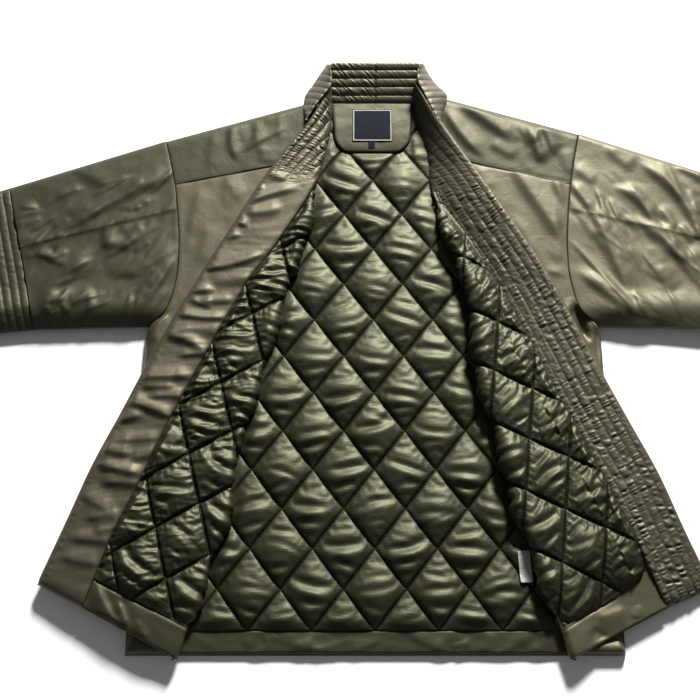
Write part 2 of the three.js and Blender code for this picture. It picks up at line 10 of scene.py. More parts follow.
import bmesh
import bpy
import numpy as np
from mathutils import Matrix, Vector


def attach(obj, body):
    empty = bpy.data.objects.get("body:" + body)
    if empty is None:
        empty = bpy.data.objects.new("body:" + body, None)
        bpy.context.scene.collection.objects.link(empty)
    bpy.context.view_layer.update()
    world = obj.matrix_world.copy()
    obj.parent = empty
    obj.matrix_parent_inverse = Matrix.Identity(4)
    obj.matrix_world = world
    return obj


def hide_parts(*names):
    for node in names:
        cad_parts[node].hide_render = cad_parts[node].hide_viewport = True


bl_info = {
    "name": "Padded coat",
    "version": (1, 0, 0),
    "blender": (4, 5, 0),
    "location": "3D View > Sidebar > Padded coat",
    "description": "Builds a padded coat that lies open on its back, with its quilted lining showing",
    "category": "Add Mesh",
}

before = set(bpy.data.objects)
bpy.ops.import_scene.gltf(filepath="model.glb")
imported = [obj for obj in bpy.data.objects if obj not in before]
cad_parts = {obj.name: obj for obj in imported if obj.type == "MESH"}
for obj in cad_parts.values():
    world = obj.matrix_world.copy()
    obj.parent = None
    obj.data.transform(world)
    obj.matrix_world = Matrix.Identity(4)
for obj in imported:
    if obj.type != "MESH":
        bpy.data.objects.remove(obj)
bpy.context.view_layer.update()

# ---------------------------------------------------------------- the coat's pattern, in millimetres
MIDDLE_Y = 5
HEM_Y = -392
HEM_DEPTH = 28
NECK_Y = 338
NECK_HALF = 92
COLLAR_TOP_Y = 388
COLLAR_TOP_HALF = 60
SIDES = {"left": -1, "right": 1}

# The edge of half of the coat: up its side, round the armhole and in along the shoulder.
HALF_BODY = [
    (297, -392), (294, -150), (292, -14), (288, 18), (267, 36), (255, 74), (252, 120), (256, 174),
    (261, 213), (268, 246), (277, 282), (92, 338),
]
SHOULDER_X, SHOULDER_Y = HALF_BODY[10]
# Where each front is folded back, from the neck to the hem.
FOLD = {
    "right": [
        (55, 352), (60, 322), (66, 290), (73, 250), (78, 212), (93, 157), (113, 94), (125, 28),
        (131, -35), (140, -84), (160, -160), (171, -216), (192, -280), (207, -324), (230, -398),
    ],
    "left": [
        (54, 352), (55, 322), (58, 290), (68, 250), (77, 212), (86, 157), (106, 94), (125, 28),
        (140, -35), (155, -84), (174, -160), (178, -216), (198, -280), (210, -324), (234, -398),
    ],
}
# The free edge of each front's band, and the edge along which it is sewn to the lining.
BAND_FREE = {
    "right": [
        (56, 357), (70, 333), (87, 304), (118, 255), (144, 215), (173, 168), (214, 100), (250, 27),
        (283, -46), (314, -110), (347, -176), (376, -246), (406, -314),
    ],
    "left": [
        (56, 357), (68, 333), (86, 304), (118, 262), (150, 213), (178, 164), (214, 101), (254, 28),
        (290, -44), (315, -98), (347, -165), (374, -233), (405, -310),
    ],
}
BAND_SEWN = {
    "right": [
        (54, 350), (58, 318), (66, 284), (73, 244), (80, 199), (120, 134), (159, 71), (194, 1),
        (226, -71), (256, -133), (289, -203), (319, -267), (348, -338),
    ],
    "left": [
        (54, 350), (54, 320), (58, 284), (67, 245), (79, 207), (125, 128), (162, 73), (198, 4),
        (232, -64), (258, -118), (287, -187), (316, -251), (348, -338),
    ],
}
LINING_ROW = 4              # the row of the band's tables where the quilted lining begins
# Depth of the facing along the hem of each folded-back front, at its fold and at its band.
TURNED_HEM = {"right": (34, 43), "left": (38, 36)}
# The fold of each folded-back front: its radius, and how much flatter than round it is.
FOLD_ROUND = {"right": (8.0, 0.95), "left": (4.0, 0.9)}
# How far each folded-back front hangs down at its fold, and over how many millimetres.
FOLD_DROOP = {"right": (-5.0, 40), "left": (5.0, 50)}
# How far each front sinks where its band and its folded-back part hide it.
BELOW_BAND = {"right": 13, "left": 7}
RIGHT_SHOULDER = 11         # how much further up the right shoulder lies than the left one
NECK_FACING_Y = 264         # the lower edge of the facing under the neck
BAND_SEAM = 53              # the collar's depth, from its top edge to the neck seam
YOKE_SEAM = {"left": [(261, 213), (85, 251)], "right": [(263, 215.5), (85, 257)]}
# Where a sleeve meets its cuff, and where the cuff ends, at their upper and their lower edge.
SLEEVE = {
    "cuff_top": (480, 213), "cuff_bottom": (432, 14), "end_top": (602, 174), "end_bottom": (558, 1),
}
SLEEVE_WIDE = 205
SLEEVE_SEAM = 0.46          # the seam along the sleeve, as a share of the way down across it

# Where each lattice of stitched diamonds has its crossings: the place of one, and the steps of half a
# diamond across and half a diamond up. The fold mirrors the lattice of a folded-back front.
LATTICE = {
    "back": ((0, 28), (38, 0), (0, 49)),
    "left": ((-236.1, 122.5), (-33.3, 15.4), (18.3, 45.7)),
    "right": ((219.6, 125.4), (-27.5, -21.2), (-20.2, 43.6)),
}

# Heights above the floor.
Z_SHELL = 2.2
Z_LINING = 7.0
Z_FRONT = 20.0
Z_UNDER_TURNED = 20.6
Z_TURNED = 26.0
Z_SLEEVE = 19.8
NO_SEAM = 99                # further off than any seam shows


def length(name, description, default):
    return bpy.props.FloatProperty(name=name, description=description, default=default, unit="LENGTH")


class CoatSizes(bpy.types.PropertyGroup):
    """Sizes of the coat's sewing that a user may change."""

    half_wide: length("Half diamond across", "Half the width of one quilted diamond", 0.038)
    half_tall: length("Half diamond up", "Half the height of one quilted diamond", 0.049)
    puff: length("Puff", "How far the middle of a diamond rises over its stitching", 0.0085)
    row: length("Padded row", "Spacing of the stitched rows of the band and the cuffs", 0.0107)
    stitch: length("Stitch length", "Length of one stitch of the quilting", 0.0032)
    crumple: bpy.props.FloatProperty(
        name="Crumple", description="Strength of the small wrinkles in the shell cloth", default=1.0,
        subtype="FACTOR", min=0.0, max=2.0)


def to_linear(hex_colour):
    """An sRGB hex colour as linear red, green and blue."""
    parts = [int(hex_colour[i:i + 2], 16) / 255 for i in (1, 3, 5)]
    return tuple(c / 12.92 if c <= 0.04045 else ((c + 0.055) / 1.055) ** 2.4 for c in parts)


def colour_setting(name, description, hex_colour):
    return bpy.props.FloatVectorProperty(
        name=name, description=description, default=to_linear(hex_colour), size=3, min=0, max=1,
        subtype="COLOR")


class CoatColours(bpy.types.PropertyGroup):
    """Colours of the coat's cloths and of the floor."""

    shell: colour_setting("Shell", "Nylon taffeta of the fronts", "#383529")
    # A darker copy of the shell taffeta: painted shade, for the pieces that lie in less light.
    shell_painted_shade: colour_setting("Painted shade shell", "The same taffeta, painted darker as shade", "#25241b")
    band: colour_setting("Band", "The same taffeta, sewn in rows on the band and cuffs", "#36322a")
    lining: colour_setting("Lining", "Polyester satin of the quilted lining", "#14150b")
    label: colour_setting("Label", "Woven neck label", "#0b0e18")
    border: colour_setting("Label edge", "Pale edge of the woven label", "#8d8c84")
    tape: colour_setting("Care label", "White satin tape", "#a9a9a6")
    floor: colour_setting("Floor", "Plain pale floor", "#f6f6f6")


def sizes():
    return bpy.context.scene.coat_sizes


def colours():
    return bpy.context.scene.coat_colours


def diamond():
    """Half the width and half the height of a quilted diamond, in millimetres."""
    return sizes().half_wide * 1000, sizes().half_tall * 1000


# ---------------------------------------------------------------- lines and fields
def lerp(a, b, t):
    return a + (b - a) * t


def ease(t):
    t = np.clip(t, 0, 1)
    return t * t * (3 - 2 * t)


def stacked(*values):
    """Arrays, spread to one shape, as one array with a last axis for them."""
    return np.stack(np.broadcast_arrays(*values), axis=-1).astype(float)


def side_line(points, side):
    """A table's points, on the side that they are for."""
    line = np.array(points, float)
    line[:, 0] *= SIDES[side]
    return line


def lengths(line):
    """How far along a line its points are."""
    return np.concatenate([[0], np.cumsum(np.hypot(*np.diff(line, axis=0).T[:2]))])


def across_at(line, y):
    """Where a line that runs down the coat is, at a height up the coat."""
    return np.interp(-y, -line[:, 1], line[:, 0])


def smooth_line(points, count, at=None):
    """Points on a smooth curve through a table's points, evenly spaced, or at shares of its rows."""
    p = np.asarray(points, float)
    n = len(p)
    run = lengths(p) if at is None else np.arange(n, dtype=float)
    where = np.linspace(0, run[-1], count) if at is None else np.asarray(at, float)
    slope = np.gradient(p, run, axis=0)
    k = np.clip(np.searchsorted(run, where, side="right") - 1, 0, n - 2)
    h = (run[k + 1] - run[k])[:, None]
    t = ((where - run[k]) / h[:, 0])[:, None]
    a, b = p[k], p[k + 1]
    ma, mb = slope[k] * h, slope[k + 1] * h
    return ((2 * t ** 3 - 3 * t ** 2 + 1) * a + (t ** 3 - 2 * t ** 2 + t) * ma
            + (-2 * t ** 3 + 3 * t ** 2) * b + (t ** 3 - t ** 2) * mb)


def from_line(x, y, line):
    """How far points lie to the left of a line as it runs, and how far along it, in millimetres."""
    run = lengths(line)
    best = np.full(x.shape, 1e9)
    signed = np.zeros(x.shape)
    along = np.zeros(x.shape)
    for k in range(len(line) - 1):
        (ax, ay), (bx, by) = line[k], line[k + 1]
        dx, dy = bx - ax, by - ay
        size = math.hypot(dx, dy)
        t = ((x - ax) * dx + (y - ay) * dy) / size ** 2
        low = -1e9 if k == 0 else 0.0
        high = 1e9 if k == len(line) - 2 else 1.0
        t = np.clip(t, low, high)
        px, py = x - ax - t * dx, y - ay - t * dy
        away = np.hypot(px, py)
        nearer = away < best
        best = np.where(nearer, away, best)
        turn = np.sign(dx * py - dy * px)
        signed = np.where(nearer, away * np.where(turn == 0, 1, turn), signed)
        along = np.where(nearer, run[k] + t * size, along)
    return signed, along


def ripple(x, y, seed):
    """Smooth noise, from about -1 to 1, with a grain of one unit."""
    angle = np.random.default_rng(seed).uniform(0, 2 * np.pi, (256, 256))
    x, y = np.broadcast_arrays(np.asarray(x, float), np.asarray(y, float))
    xi, yi = np.floor(x).astype(int), np.floor(y).astype(int)
    xf, yf = x - xi, y - yi

    def corner(a, b):
        turn = angle[(xi + a) % 256, (yi + b) % 256]
        return np.cos(turn) * (xf - a) + np.sin(turn) * (yf - b)

    u = xf ** 3 * (xf * (xf * 6 - 15) + 10)
    v = yf ** 3 * (yf * (yf * 6 - 15) + 10)
    return 1.4 * lerp(lerp(corner(0, 0), corner(1, 0), u), lerp(corner(0, 1), corner(1, 1), u), v)


def creases(x, y, table):
    """Heights of folds in the cloth. Each runs from one point to another, bowed to its left by some
    millimetres, and has a rise, and a half-width on its left side, which is its steep side."""
    total = np.zeros(np.shape(x))
    for x1, y1, x2, y2, bow, rise, wide in table:
        dx, dy = x2 - x1, y2 - y1
        size = math.hypot(dx, dy)
        t = ((x - x1) * dx + (y - y1) * dy) / size ** 2
        on = np.clip(t, 0, 1)
        off = ((y - y1) * dx - (x - x1) * dy) / size - 4 * bow * on * (1 - on)
        fade = ease((t + 0.05) * 3) * ease((1.05 - t) * 3)
        half = np.where(off > 0, wide, 2 * wide) * lerp(0.7, 1, fade)
        total += rise * fade * np.exp(-(off / half) ** 2)
    return total


def sewn_line(away, deep=0.4, wide=2.4):
    """How far a seam pulls the cloth down, near it."""
    return -deep * np.exp(-(away / wide) ** 2)


def roll(away, radius, height):
    """The rounded edge of a padded layer: its height, a number of millimetres in from the edge."""
    t = np.clip(away / radius, 0, 1)
    return height * np.sqrt(np.clip(1 - (1 - t) ** 2, 0, 1))


# ---------------------------------------------------------------- meshes
def half_body(side):
    """The edge of half of the coat. The right shoulder lies a little higher than the left one."""
    line = np.array(HALF_BODY, float)
    if side == "right":
        line[:, 1] += RIGHT_SHOULDER * ease((line[:, 1] - 205) / 70)
    return line


def only(piece):
    bpy.ops.object.select_all(action="DESELECT")
    piece.select_set(True)
    bpy.context.view_layer.objects.active = piece


def read(items, name):
    """A vector that each of a mesh's vertices or faces has, as rows of three numbers."""
    values = np.empty(len(items) * 3)
    items.foreach_get(name, values)
    return values.reshape(-1, 3)


def lay_cloth(name, place, cloth=None, quilt=None, keep=None, seams=(NO_SEAM, NO_SEAM)):
    """A grid of cloth, by row and column. place is the x, y and z of its points in millimetres. cloth is
    where they lie on the flat cloth, for its weave, if that isn't x and y. quilt is where they lie in
    steps of the stitched lattice. keep says which of the grid's squares are there, and seams is how far
    off two seams are."""
    points = stacked(*place)
    rows, columns = points.shape[:2]
    bpy.ops.object.select_all(action="DESELECT")
    bpy.ops.mesh.primitive_grid_add(
        x_subdivisions=columns - 1, y_subdivisions=rows - 1, size=1, calc_uvs=True)
    piece = bpy.context.object
    mesh = piece.data
    piece.name = mesh.name = f"{name}_cloth"
    flat = read(mesh.vertices, "co")
    i = np.rint((flat[:, 1] + 0.5) * (rows - 1)).astype(int)
    j = np.rint((flat[:, 0] + 0.5) * (columns - 1)).astype(int)
    mesh.vertices.foreach_set("co", ((points[i, j] + (0, MIDDLE_Y, 0)) / 1000).ravel())
    corner = np.empty(len(mesh.loops), int)
    mesh.loops.foreach_get("vertex_index", corner)
    mesh.uv_layers[0].name = "cloth"
    maps = {"cloth": (points[..., :2] if cloth is None else stacked(*cloth)) / 1000,
            "seams": stacked(*seams, points[..., 0])[..., :2] / 1000}
    if quilt:
        maps["quilt"] = stacked(*quilt)
    for layer, values in maps.items():
        flat_map = mesh.uv_layers.get(layer) or mesh.uv_layers.new(name=layer)
        flat_map.data.foreach_set("uv", values[i, j][corner].ravel())
    if keep is not None:
        shape = bmesh.new()
        shape.from_mesh(mesh)
        gone = [face for face in shape.faces if not keep[
            min(i[v.index] for v in face.verts), min(j[v.index] for v in face.verts)]]
        bmesh.ops.delete(shape, geom=gone, context="FACES")
        shape.to_mesh(mesh)
        shape.free()
    mesh.update()
    return piece


def thicken(piece, thick):
    """Gives a sheet the thickness of its cloth, below it."""
    only(piece)
    wall = piece.modifiers.new("Cloth thickness", "SOLIDIFY")
    wall.thickness = thick / 1000
    wall.offset = -1
    bpy.ops.object.modifier_apply(modifier=wall.name)
    return piece


def lay_sheet(name, place, thick, **how):
    """A piece of cloth with its face up and a thickness, laid as lay_cloth says."""
    piece = lay_cloth(name, place, **how)
    if read(piece.data.polygons, "normal")[:, 2].mean() < 0:
        piece.data.flip_normals()
    return thicken(piece, thick)


def join_tube(piece, closed):
    """Joins a grid's first and last columns into a tube, with closed or open ends."""
    only(piece)
    bpy.ops.object.mode_set(mode="EDIT")
    bpy.ops.mesh.select_all(action="SELECT")
    bpy.ops.mesh.remove_doubles(threshold=1e-5)
    if closed:
        bpy.ops.mesh.select_all(action="DESELECT")
        bpy.ops.mesh.select_non_manifold()
        bpy.ops.mesh.fill_holes(sides=0)
    bpy.ops.mesh.select_all(action="SELECT")
    bpy.ops.mesh.normals_make_consistent(inside=False)
    bpy.ops.object.mode_set(mode="OBJECT")
    return piece


def sew_in(piece, finish, slot, *nodes):
    """The last steps of each piece: smooth faces, its finish, and what it stands for. Its slot is not
    used.
    """
    only(piece)
    bpy.ops.object.shade_smooth()
    piece.data.materials.clear()
    piece.data.materials.append(finish)
    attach(piece, "root")
    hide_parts(*nodes)
    return piece


# ---------------------------------------------------------------- finishes
def set_inputs(tree, node, inputs):
    """Gives a node's inputs, by number or by name, a value or another node's output."""
    for key, value in inputs.items():
        if isinstance(value, bpy.types.NodeSocket):
            tree.links.new(value, node.inputs[key])
        else:
            node.inputs[key].default_value = value


def add_node(tree, kind, inputs=(), output=0, **settings):
    """Adds a node with its inputs and settings, and gives one of its outputs."""
    node = tree.nodes.new("ShaderNode" + kind)
    for key, value in settings.items():
        setattr(node, key, value)
    set_inputs(tree, node, inputs if isinstance(inputs, dict) else dict(enumerate(inputs)))
    return node.outputs[output]


def shade_of(colour, share):
    """A colour made darker or lighter."""
    return (*(min(1, c * share) for c in colour), 1)


def wave_scale(pitch):
    """The scale of bands that lie a number of millimetres apart: one at scale 1 is pi / 10 wide."""
    return math.pi / 10 / (pitch / 1000)


def make_finish(name, build):
    """A material that is made once. build adds its nodes, and gives its shader's inputs."""
    material = bpy.data.materials.get(name)
    if not material:
        material = bpy.data.materials.new(name)
        material.use_nodes = True
        tree = material.node_tree
        set_inputs(tree, tree.nodes["Principled BSDF"], build(partial(add_node, tree)))
    return material


def taffeta(name, colour, roughness, gloss):
    """Nylon taffeta: a tight plain weave with a soft, warm sheen. Its seams are fine dark lines."""
    def build(add):
        uv = add("UVMap", uv_map="cloth")
        # The threads lie 0.25 mm apart, and are drawn 3.16 mm apart, which is as fine as shows.
        across, along = (add("TexWave", {"Vector": uv, "Scale": wave_scale(3.16), "Distortion": 1.5,
                                         "Detail": 1.0}, "Fac", bands_direction=axis) for axis in "XY")
        weave = add("Math", (across, along), operation="MULTIPLY")
        # Small soft wrinkles, about 14 mm apart, that wear leaves in the cloth.
        wrinkle = add("TexNoise", {"Vector": uv, "Scale": 70.0, "Detail": 3.0, "Roughness": 0.5,
                                   "Distortion": 0.5}, "Fac")
        # Sharper creases, some 40 mm long, from the way the coat was folded away.
        crease = add("TexNoise", {"Vector": uv, "Scale": 25.0, "Detail": 1.5, "Roughness": 0.5,
                                  "Distortion": 1.0}, "Fac", noise_type="RIDGED_MULTIFRACTAL")
        # The dye is a little uneven, in patches some 70 mm wide and from thread to thread.
        patches = add("TexNoise", {"Vector": uv, "Scale": 14.0, "Detail": 3.0}, "Fac")
        mixed = add("Math", (weave, 0.25, patches), operation="MULTIPLY_ADD")
        share = add("Math", (mixed, 0.1), operation="SUBTRACT")
        cloth = add("Mix", {0: share, 6: shade_of(colour, 0.88), 7: shade_of(colour, 1.1)}, 2,
                    data_type="RGBA")
        # A seam is a dark, sunken line, 1.8 mm wide.
        two = add("SeparateXYZ", (add("UVMap", uv_map="seams"),)).node.outputs
        off = [add("Math", (seam,), operation="ABSOLUTE") for seam in two[:2]]
        near = add("Math", (add("Math", off, operation="MINIMUM"), 0.0009), operation="DIVIDE")
        near = add("Math", (near, 1.0, 0.3), operation="SMOOTH_MIN")
        seam = add("Math", (1.0, near), operation="SUBTRACT")
        share = add("Math", (seam, 0.75), operation="MULTIPLY")
        dark = add("Mix", {0: share, 6: cloth, 7: shade_of(colour, 0.2)}, 2, data_type="RGBA")
        height = add("Math", (crease, 0.45, wrinkle), operation="MULTIPLY_ADD")
        for part, share in ((weave, 0.05), (seam, -0.25)):
            height = add("Math", (part, share, height), operation="MULTIPLY_ADD")
        return {"Base Color": dark, "Roughness": roughness, "IOR": 1.55, "Specular IOR Level": gloss,
                "Specular Tint": (0.985, 0.93, 0.61, 1.0),
                "Normal": add("Bump", {"Height": height, "Strength": 0.4, "Distance": 0.0012})}

    return make_finish(name, build)


def satin(name, colour):
    """Quilted polyester satin: its long floating threads give a strong sheen. The stitches run along
    the diamonds' edges."""
    def build(add):
        uv = add("UVMap", uv_map="cloth")
        two = add("SeparateXYZ", (add("UVMap", uv_map="quilt"),)).node.outputs
        a, b = (add("Math", (add("Math", two[:2], operation=kind), 0.5), operation="MULTIPLY")
                for kind in ("ADD", "SUBTRACT"))
        edge, spacing = quilt_edges()
        groove, thread = [], []
        for across, along in ((a, b), (b, a)):
            off = add("Math", (across, add("Math", (across,), operation="ROUND")), operation="SUBTRACT")
            mm = add("Math", (add("Math", (off,), operation="ABSOLUTE"), spacing), operation="MULTIPLY")
            # A stitched line lies in a groove, 4.2 mm wide.
            near = add("Math", (mm, 2.1), operation="DIVIDE")
            near = add("Math", (near, 1.0, 0.4), operation="SMOOTH_MIN")
            groove.append(add("Math", (1.0, near), operation="SUBTRACT"))
            # Its thread is 0.84 mm wide, so that it shows, and dips into the cloth between stitches.
            stitches = edge / (sizes().stitch * 1000)
            turn = add("Math", (along, 2 * math.pi * stitches), operation="MULTIPLY")
            dash = add("Math", (add("Math", (turn,), operation="SINE"), -0.5), operation="GREATER_THAN")
            thin = add("Math", (mm, 0.42), operation="LESS_THAN")
            thread.append(add("Math", (dash, thin), operation="MULTIPLY"))
        groove, thread = (add("Math", pair, operation="MAXIMUM") for pair in (groove, thread))
        # Wrinkles run across the diamonds: small ones, about 10 mm long and 4 mm apart, and sharp ones,
        # some 70 mm long and 27 mm apart, that the filling pushes up.
        stretch = add("Mapping", {"Vector": uv, "Scale": (1.0, 2.6, 1.0)})
        small = add("TexNoise", {"Vector": stretch, "Scale": 95.0, "Detail": 3.5, "Roughness": 0.5,
                                 "Distortion": 0.8}, "Fac")
        sharp = add("TexNoise", {"Vector": stretch, "Scale": 14.0, "Detail": 1.0, "Roughness": 0.5,
                                 "Distortion": 1.2}, "Fac", noise_type="RIDGED_MULTIFRACTAL")
        height = add("Math", (small, 0.6), operation="MULTIPLY")
        for part, share in ((sharp, 0.9), (groove, -1.9), (thread, 0.25)):
            height = add("Math", (part, share, height), operation="MULTIPLY_ADD")
        patches = add("TexNoise", {"Vector": uv, "Scale": 20.0, "Detail": 2.0}, "Fac")
        # The thread is paler than the cloth. The grooves are painted darker: painted shade.
        cloth = shade_of(colour, 0.85)
        for share, over in ((patches, 1.15), (thread, 1.6),
                            (add("Math", (groove, 0.7), operation="MULTIPLY"), 0.15)):
            cloth = add("Mix", {0: share, 6: cloth, 7: shade_of(colour, over)}, 2, data_type="RGBA")
        # Painted shade: the grooves reflect less light.
        shade = add("Math", (groove, -0.75, 1.0), operation="MULTIPLY_ADD")
        return {"Base Color": cloth, "Roughness": 0.53, "IOR": 1.55,
                "Specular IOR Level": add("Math", (shade, 0.42), operation="MULTIPLY"),
                "Specular Tint": (1.0, 0.985, 0.64, 1.0),
                "Normal": add("Bump", {"Height": height, "Strength": 0.5, "Distance": 0.001})}

    return make_finish(name, build)


def woven(name, colour, rib=2.369, roughness=0.8):
    """A damask-woven label or tape: a close, flat weave with a dull surface. Its ribs lie 0.3 mm apart,
    and are drawn some 2 mm apart, as fine as shows."""
    def build(add):
        ribs = add("TexWave", {"Vector": add("TexCoord", output="Object"), "Scale": wave_scale(rib),
                               "Distortion": 0.4}, "Fac", bands_direction="Y")
        cloth = add("Mix", {0: ribs, 6: shade_of(colour, 0.88), 7: shade_of(colour, 1.08)}, 2,
                    data_type="RGBA")
        return {"Base Color": cloth,
                "Roughness": roughness, "Specular IOR Level": 0.12,
                "Normal": add("Bump", {"Height": ribs, "Strength": 0.2, "Distance": 0.0004})}

    return make_finish(name, build)


def shell_cloth():
    return taffeta("Nylon taffeta, woven", tuple(colours().shell), 0.52, 0.5)


# The shell taffeta painted darker and duller as painted shade, for the pieces that lie in less light.
def shell_painted_shade_cloth():
    return taffeta("Nylon taffeta, woven, painted darker as shade", tuple(colours().shell_painted_shade), 0.54, 0.36)


def band_cloth():
    return taffeta("Nylon taffeta, sewn in rows", tuple(colours().band), 0.53, 0.52)


def lining_cloth():
    return satin("Polyester satin, quilted", tuple(colours().lining))


# ---------------------------------------------------------------- the quilted lining
QUILT_GRAIN = 16            # squares of the simulated cloth across half a diamond
QUILT_REACH = (7, 8)        # half diamonds from its middle to its sides, and to its ends


def in_lattice(name, x, y):
    """Places on the coat as steps of a lattice."""
    start, across, up = (np.array(v, float) for v in LATTICE[name])
    turn = np.linalg.inv(np.stack([across, up], axis=1))
    dx, dy = x - start[0], y - start[1]
    return turn[0, 0] * dx + turn[0, 1] * dy, turn[1, 0] * dx + turn[1, 1] * dy


def from_lattice(name, m, n):
    """Steps of a lattice as places on the coat."""
    start, across, up = LATTICE[name]
    return (start[0] + m * across[0] + n * up[0], start[1] + m * across[1] + n * up[1])


def quilt_edges():
    """The length of a diamond's edge, and the distance between two stitched lines, in millimetres."""
    half_wide, half_tall = diamond()
    edge = math.hypot(half_wide, half_tall)
    return edge, 2 * half_wide * half_tall / edge


def sewn_quilting(m, n):
    """Heights of the quilting as it is sewn, in millimetres: each diamond is a pillow with one deep fold
    across its middle, a second one above, and puckers in its upper corner, all a little different."""
    half_wide, half_tall = diamond()
    a, b = (m + n) / 2, (m - n) / 2
    in_a, in_b = a - np.floor(a), b - np.floor(b)
    x, y, up = (in_a + in_b - 1) * half_wide, (in_a - in_b) * half_tall, in_a - in_b
    free = np.abs(np.sin(np.pi * a) * np.sin(np.pi * b))
    chance = np.random.default_rng(7).uniform(-1, 1, (16, 64, 64))
    chance = chance[:, np.floor(a).astype(int) % 64, np.floor(b).astype(int) % 64]
    height = sizes().puff * 1000 * free ** 0.42 * (1 - 0.5 * up) * (1 + 0.10 * chance[15])
    for k, (place, wide, long, deep) in enumerate(
            ((0, 4.8, 25, 2.8), (17, 3.0, 14, 1.2), (-19, 3.6, 14, 1.4))):
        luck = chance[5 * k:5 * k + 5]
        bow = 0.006 * luck[4] * x ** 2
        off = (y - place - 7 * luck[0] - 0.35 * luck[1] * x - bow) / (wide * (1 + 0.25 * luck[2]))
        fold = 0.75 * np.exp(-(off + 1.9) ** 2) - np.exp(-off ** 2) + 0.25 * np.exp(-(off - 1.9) ** 2)
        rise = deep * (0.8 + 0.5 * luck[2])
        fold *= np.exp(-np.abs((x - 7 * luck[3]) / long) ** 2.5) * np.minimum(free * 4, 1)
        height += rise * fold
    flat_x, flat_y = m * half_wide, n * half_tall
    puckers = ripple(flat_x / 22, flat_y / 5, 3) * np.exp(-((y - 30) / 12) ** 2)
    puckers += 0.4 * ripple(flat_x / 15, flat_y / 8, 5)
    edge, spacing = quilt_edges()
    for across, along in ((a, b), (b, a)):
        off = np.abs(across - np.rint(across)) * spacing
        puckers += 0.9 * (ripple(along * edge / 6, np.floor(2 * across) * 3.7 + off / 40, 9)
                          * np.exp(-(off / 10) ** 2))
    return height + 0.9 * puckers * np.minimum(free * 5, 1)


@cache
def blow_up_quilt():
    """Heights of a sheet of quilting, in millimetres, by steps of its grain: cloth that is longer than
    the lines that it is sewn along, blown up between them by its filling."""
    wide, tall = (2 * reach * QUILT_GRAIN for reach in QUILT_REACH)
    i, j = np.meshgrid(np.arange(tall + 1), np.arange(wide + 1), indexing="ij")
    m, n = j / QUILT_GRAIN - QUILT_REACH[0], i / QUILT_GRAIN - QUILT_REACH[1]
    start = sewn_quilting(m, n)
    half_wide, half_tall = diamond()
    piece = lay_cloth("quilt_trial", (m * half_wide, n * half_tall, start))
    place = read(piece.data.vertices, "co") * 1000
    vi = np.rint(((place[:, 1] - MIDDLE_Y) / half_tall + QUILT_REACH[1]) * QUILT_GRAIN).astype(int)
    vj = np.rint((place[:, 0] / half_wide + QUILT_REACH[0]) * QUILT_GRAIN).astype(int)
    # The cloth is held along the stitched lines and along its outer edge.
    odd = sum(QUILT_REACH) % 2 * QUILT_GRAIN
    held = ((vi + vj + odd) % (2 * QUILT_GRAIN) == 0) | ((vi - vj + odd) % (2 * QUILT_GRAIN) == 0)
    held |= (vi == 0) | (vj == 0) | (vi == tall) | (vj == wide)
    stitched = piece.vertex_groups.new(name="stitched")
    stitched.add([int(k) for k in np.nonzero(held)[0]], 1.0, "REPLACE")
    cloth = piece.modifiers.new("Filling", "CLOTH")
    for key, value in dict(
            quality=4, mass=0.1, air_damping=2.0, tension_stiffness=10, compression_stiffness=10,
            shear_stiffness=3, bending_stiffness=0.2, use_pressure=True, uniform_pressure_force=1.5,
            vertex_group_mass="stitched", pin_stiffness=1.0, shrink_min=-0.012).items():
        setattr(cloth.settings, key, value)
    cloth.settings.effector_weights.gravity = 0
    cloth.collision_settings.use_collision = False
    cloth.collision_settings.use_self_collision = False
    cloth.point_cache.frame_start, cloth.point_cache.frame_end = 1, 30
    for step in range(1, 13):
        bpy.context.scene.frame_set(step)
    blown = piece.evaluated_get(bpy.context.evaluated_depsgraph_get()).to_mesh()
    height = np.zeros((tall + 1, wide + 1))
    height[vi, vj] = read(blown.vertices, "co")[:, 2] * 1000
    bpy.data.objects.remove(piece)
    bpy.context.scene.frame_set(1)
    return height


def quilt_height(m, n):
    """The height of the quilting over its stitching, at steps of its lattice."""
    sheet = blow_up_quilt()[:-1, :-1]
    tall, wide = sheet.shape
    row, column = (n + QUILT_REACH[1]) * QUILT_GRAIN, (m + QUILT_REACH[0]) * QUILT_GRAIN
    i, j = np.floor(row).astype(int), np.floor(column).astype(int)
    total = np.zeros(row.shape)
    for a, in_row in enumerate(cubic(row - i)):
        for b, in_column in enumerate(cubic(column - j)):
            total += in_row * in_column * sheet[(i + a - 1) % tall, (j + b - 1) % wide]
    return total


def cubic(t):
    """Shares of four neighbours in a smooth curve, between the second and the third one."""
    return (-t / 2 + t ** 2 - t ** 3 / 2, 1 - 2.5 * t ** 2 + 1.5 * t ** 3,
            t / 2 + 2 * t ** 2 - 1.5 * t ** 3, (t ** 3 - t ** 2) / 2)


def droop_at_fold(side, beyond):
    """How far a folded-back front hangs down near its fold, at places some way beyond the fold."""
    droop, reach = FOLD_DROOP[side]
    return droop * ease(1 + beyond / reach)


def fold_x(side, y):
    """How far out a front is folded back at a height up the coat."""
    return across_at(smooth_line(FOLD[side], 200), y)


def lattice_grid(name, low, high, grain):
    """A grid along a lattice between two corners, in steps: places, and steps across and up."""
    m = np.arange(low[0] * grain, high[0] * grain + 1) / grain
    n = np.arange(low[1] * grain, high[1] * grain + 1) / grain
    n, m = np.meshgrid(n, m, indexing="ij")
    x, y = from_lattice(name, m, n)
    return x, y, m, n


def squares(mask):
    """The squares of a grid whose four corners are all in a mask."""
    return mask[:-1, :-1] & mask[1:, :-1] & mask[:-1, 1:] & mask[1:, 1:]


def steps_to_cloth(m, n):
    half_wide, half_tall = diamond()
    return m * half_wide, n * half_tall


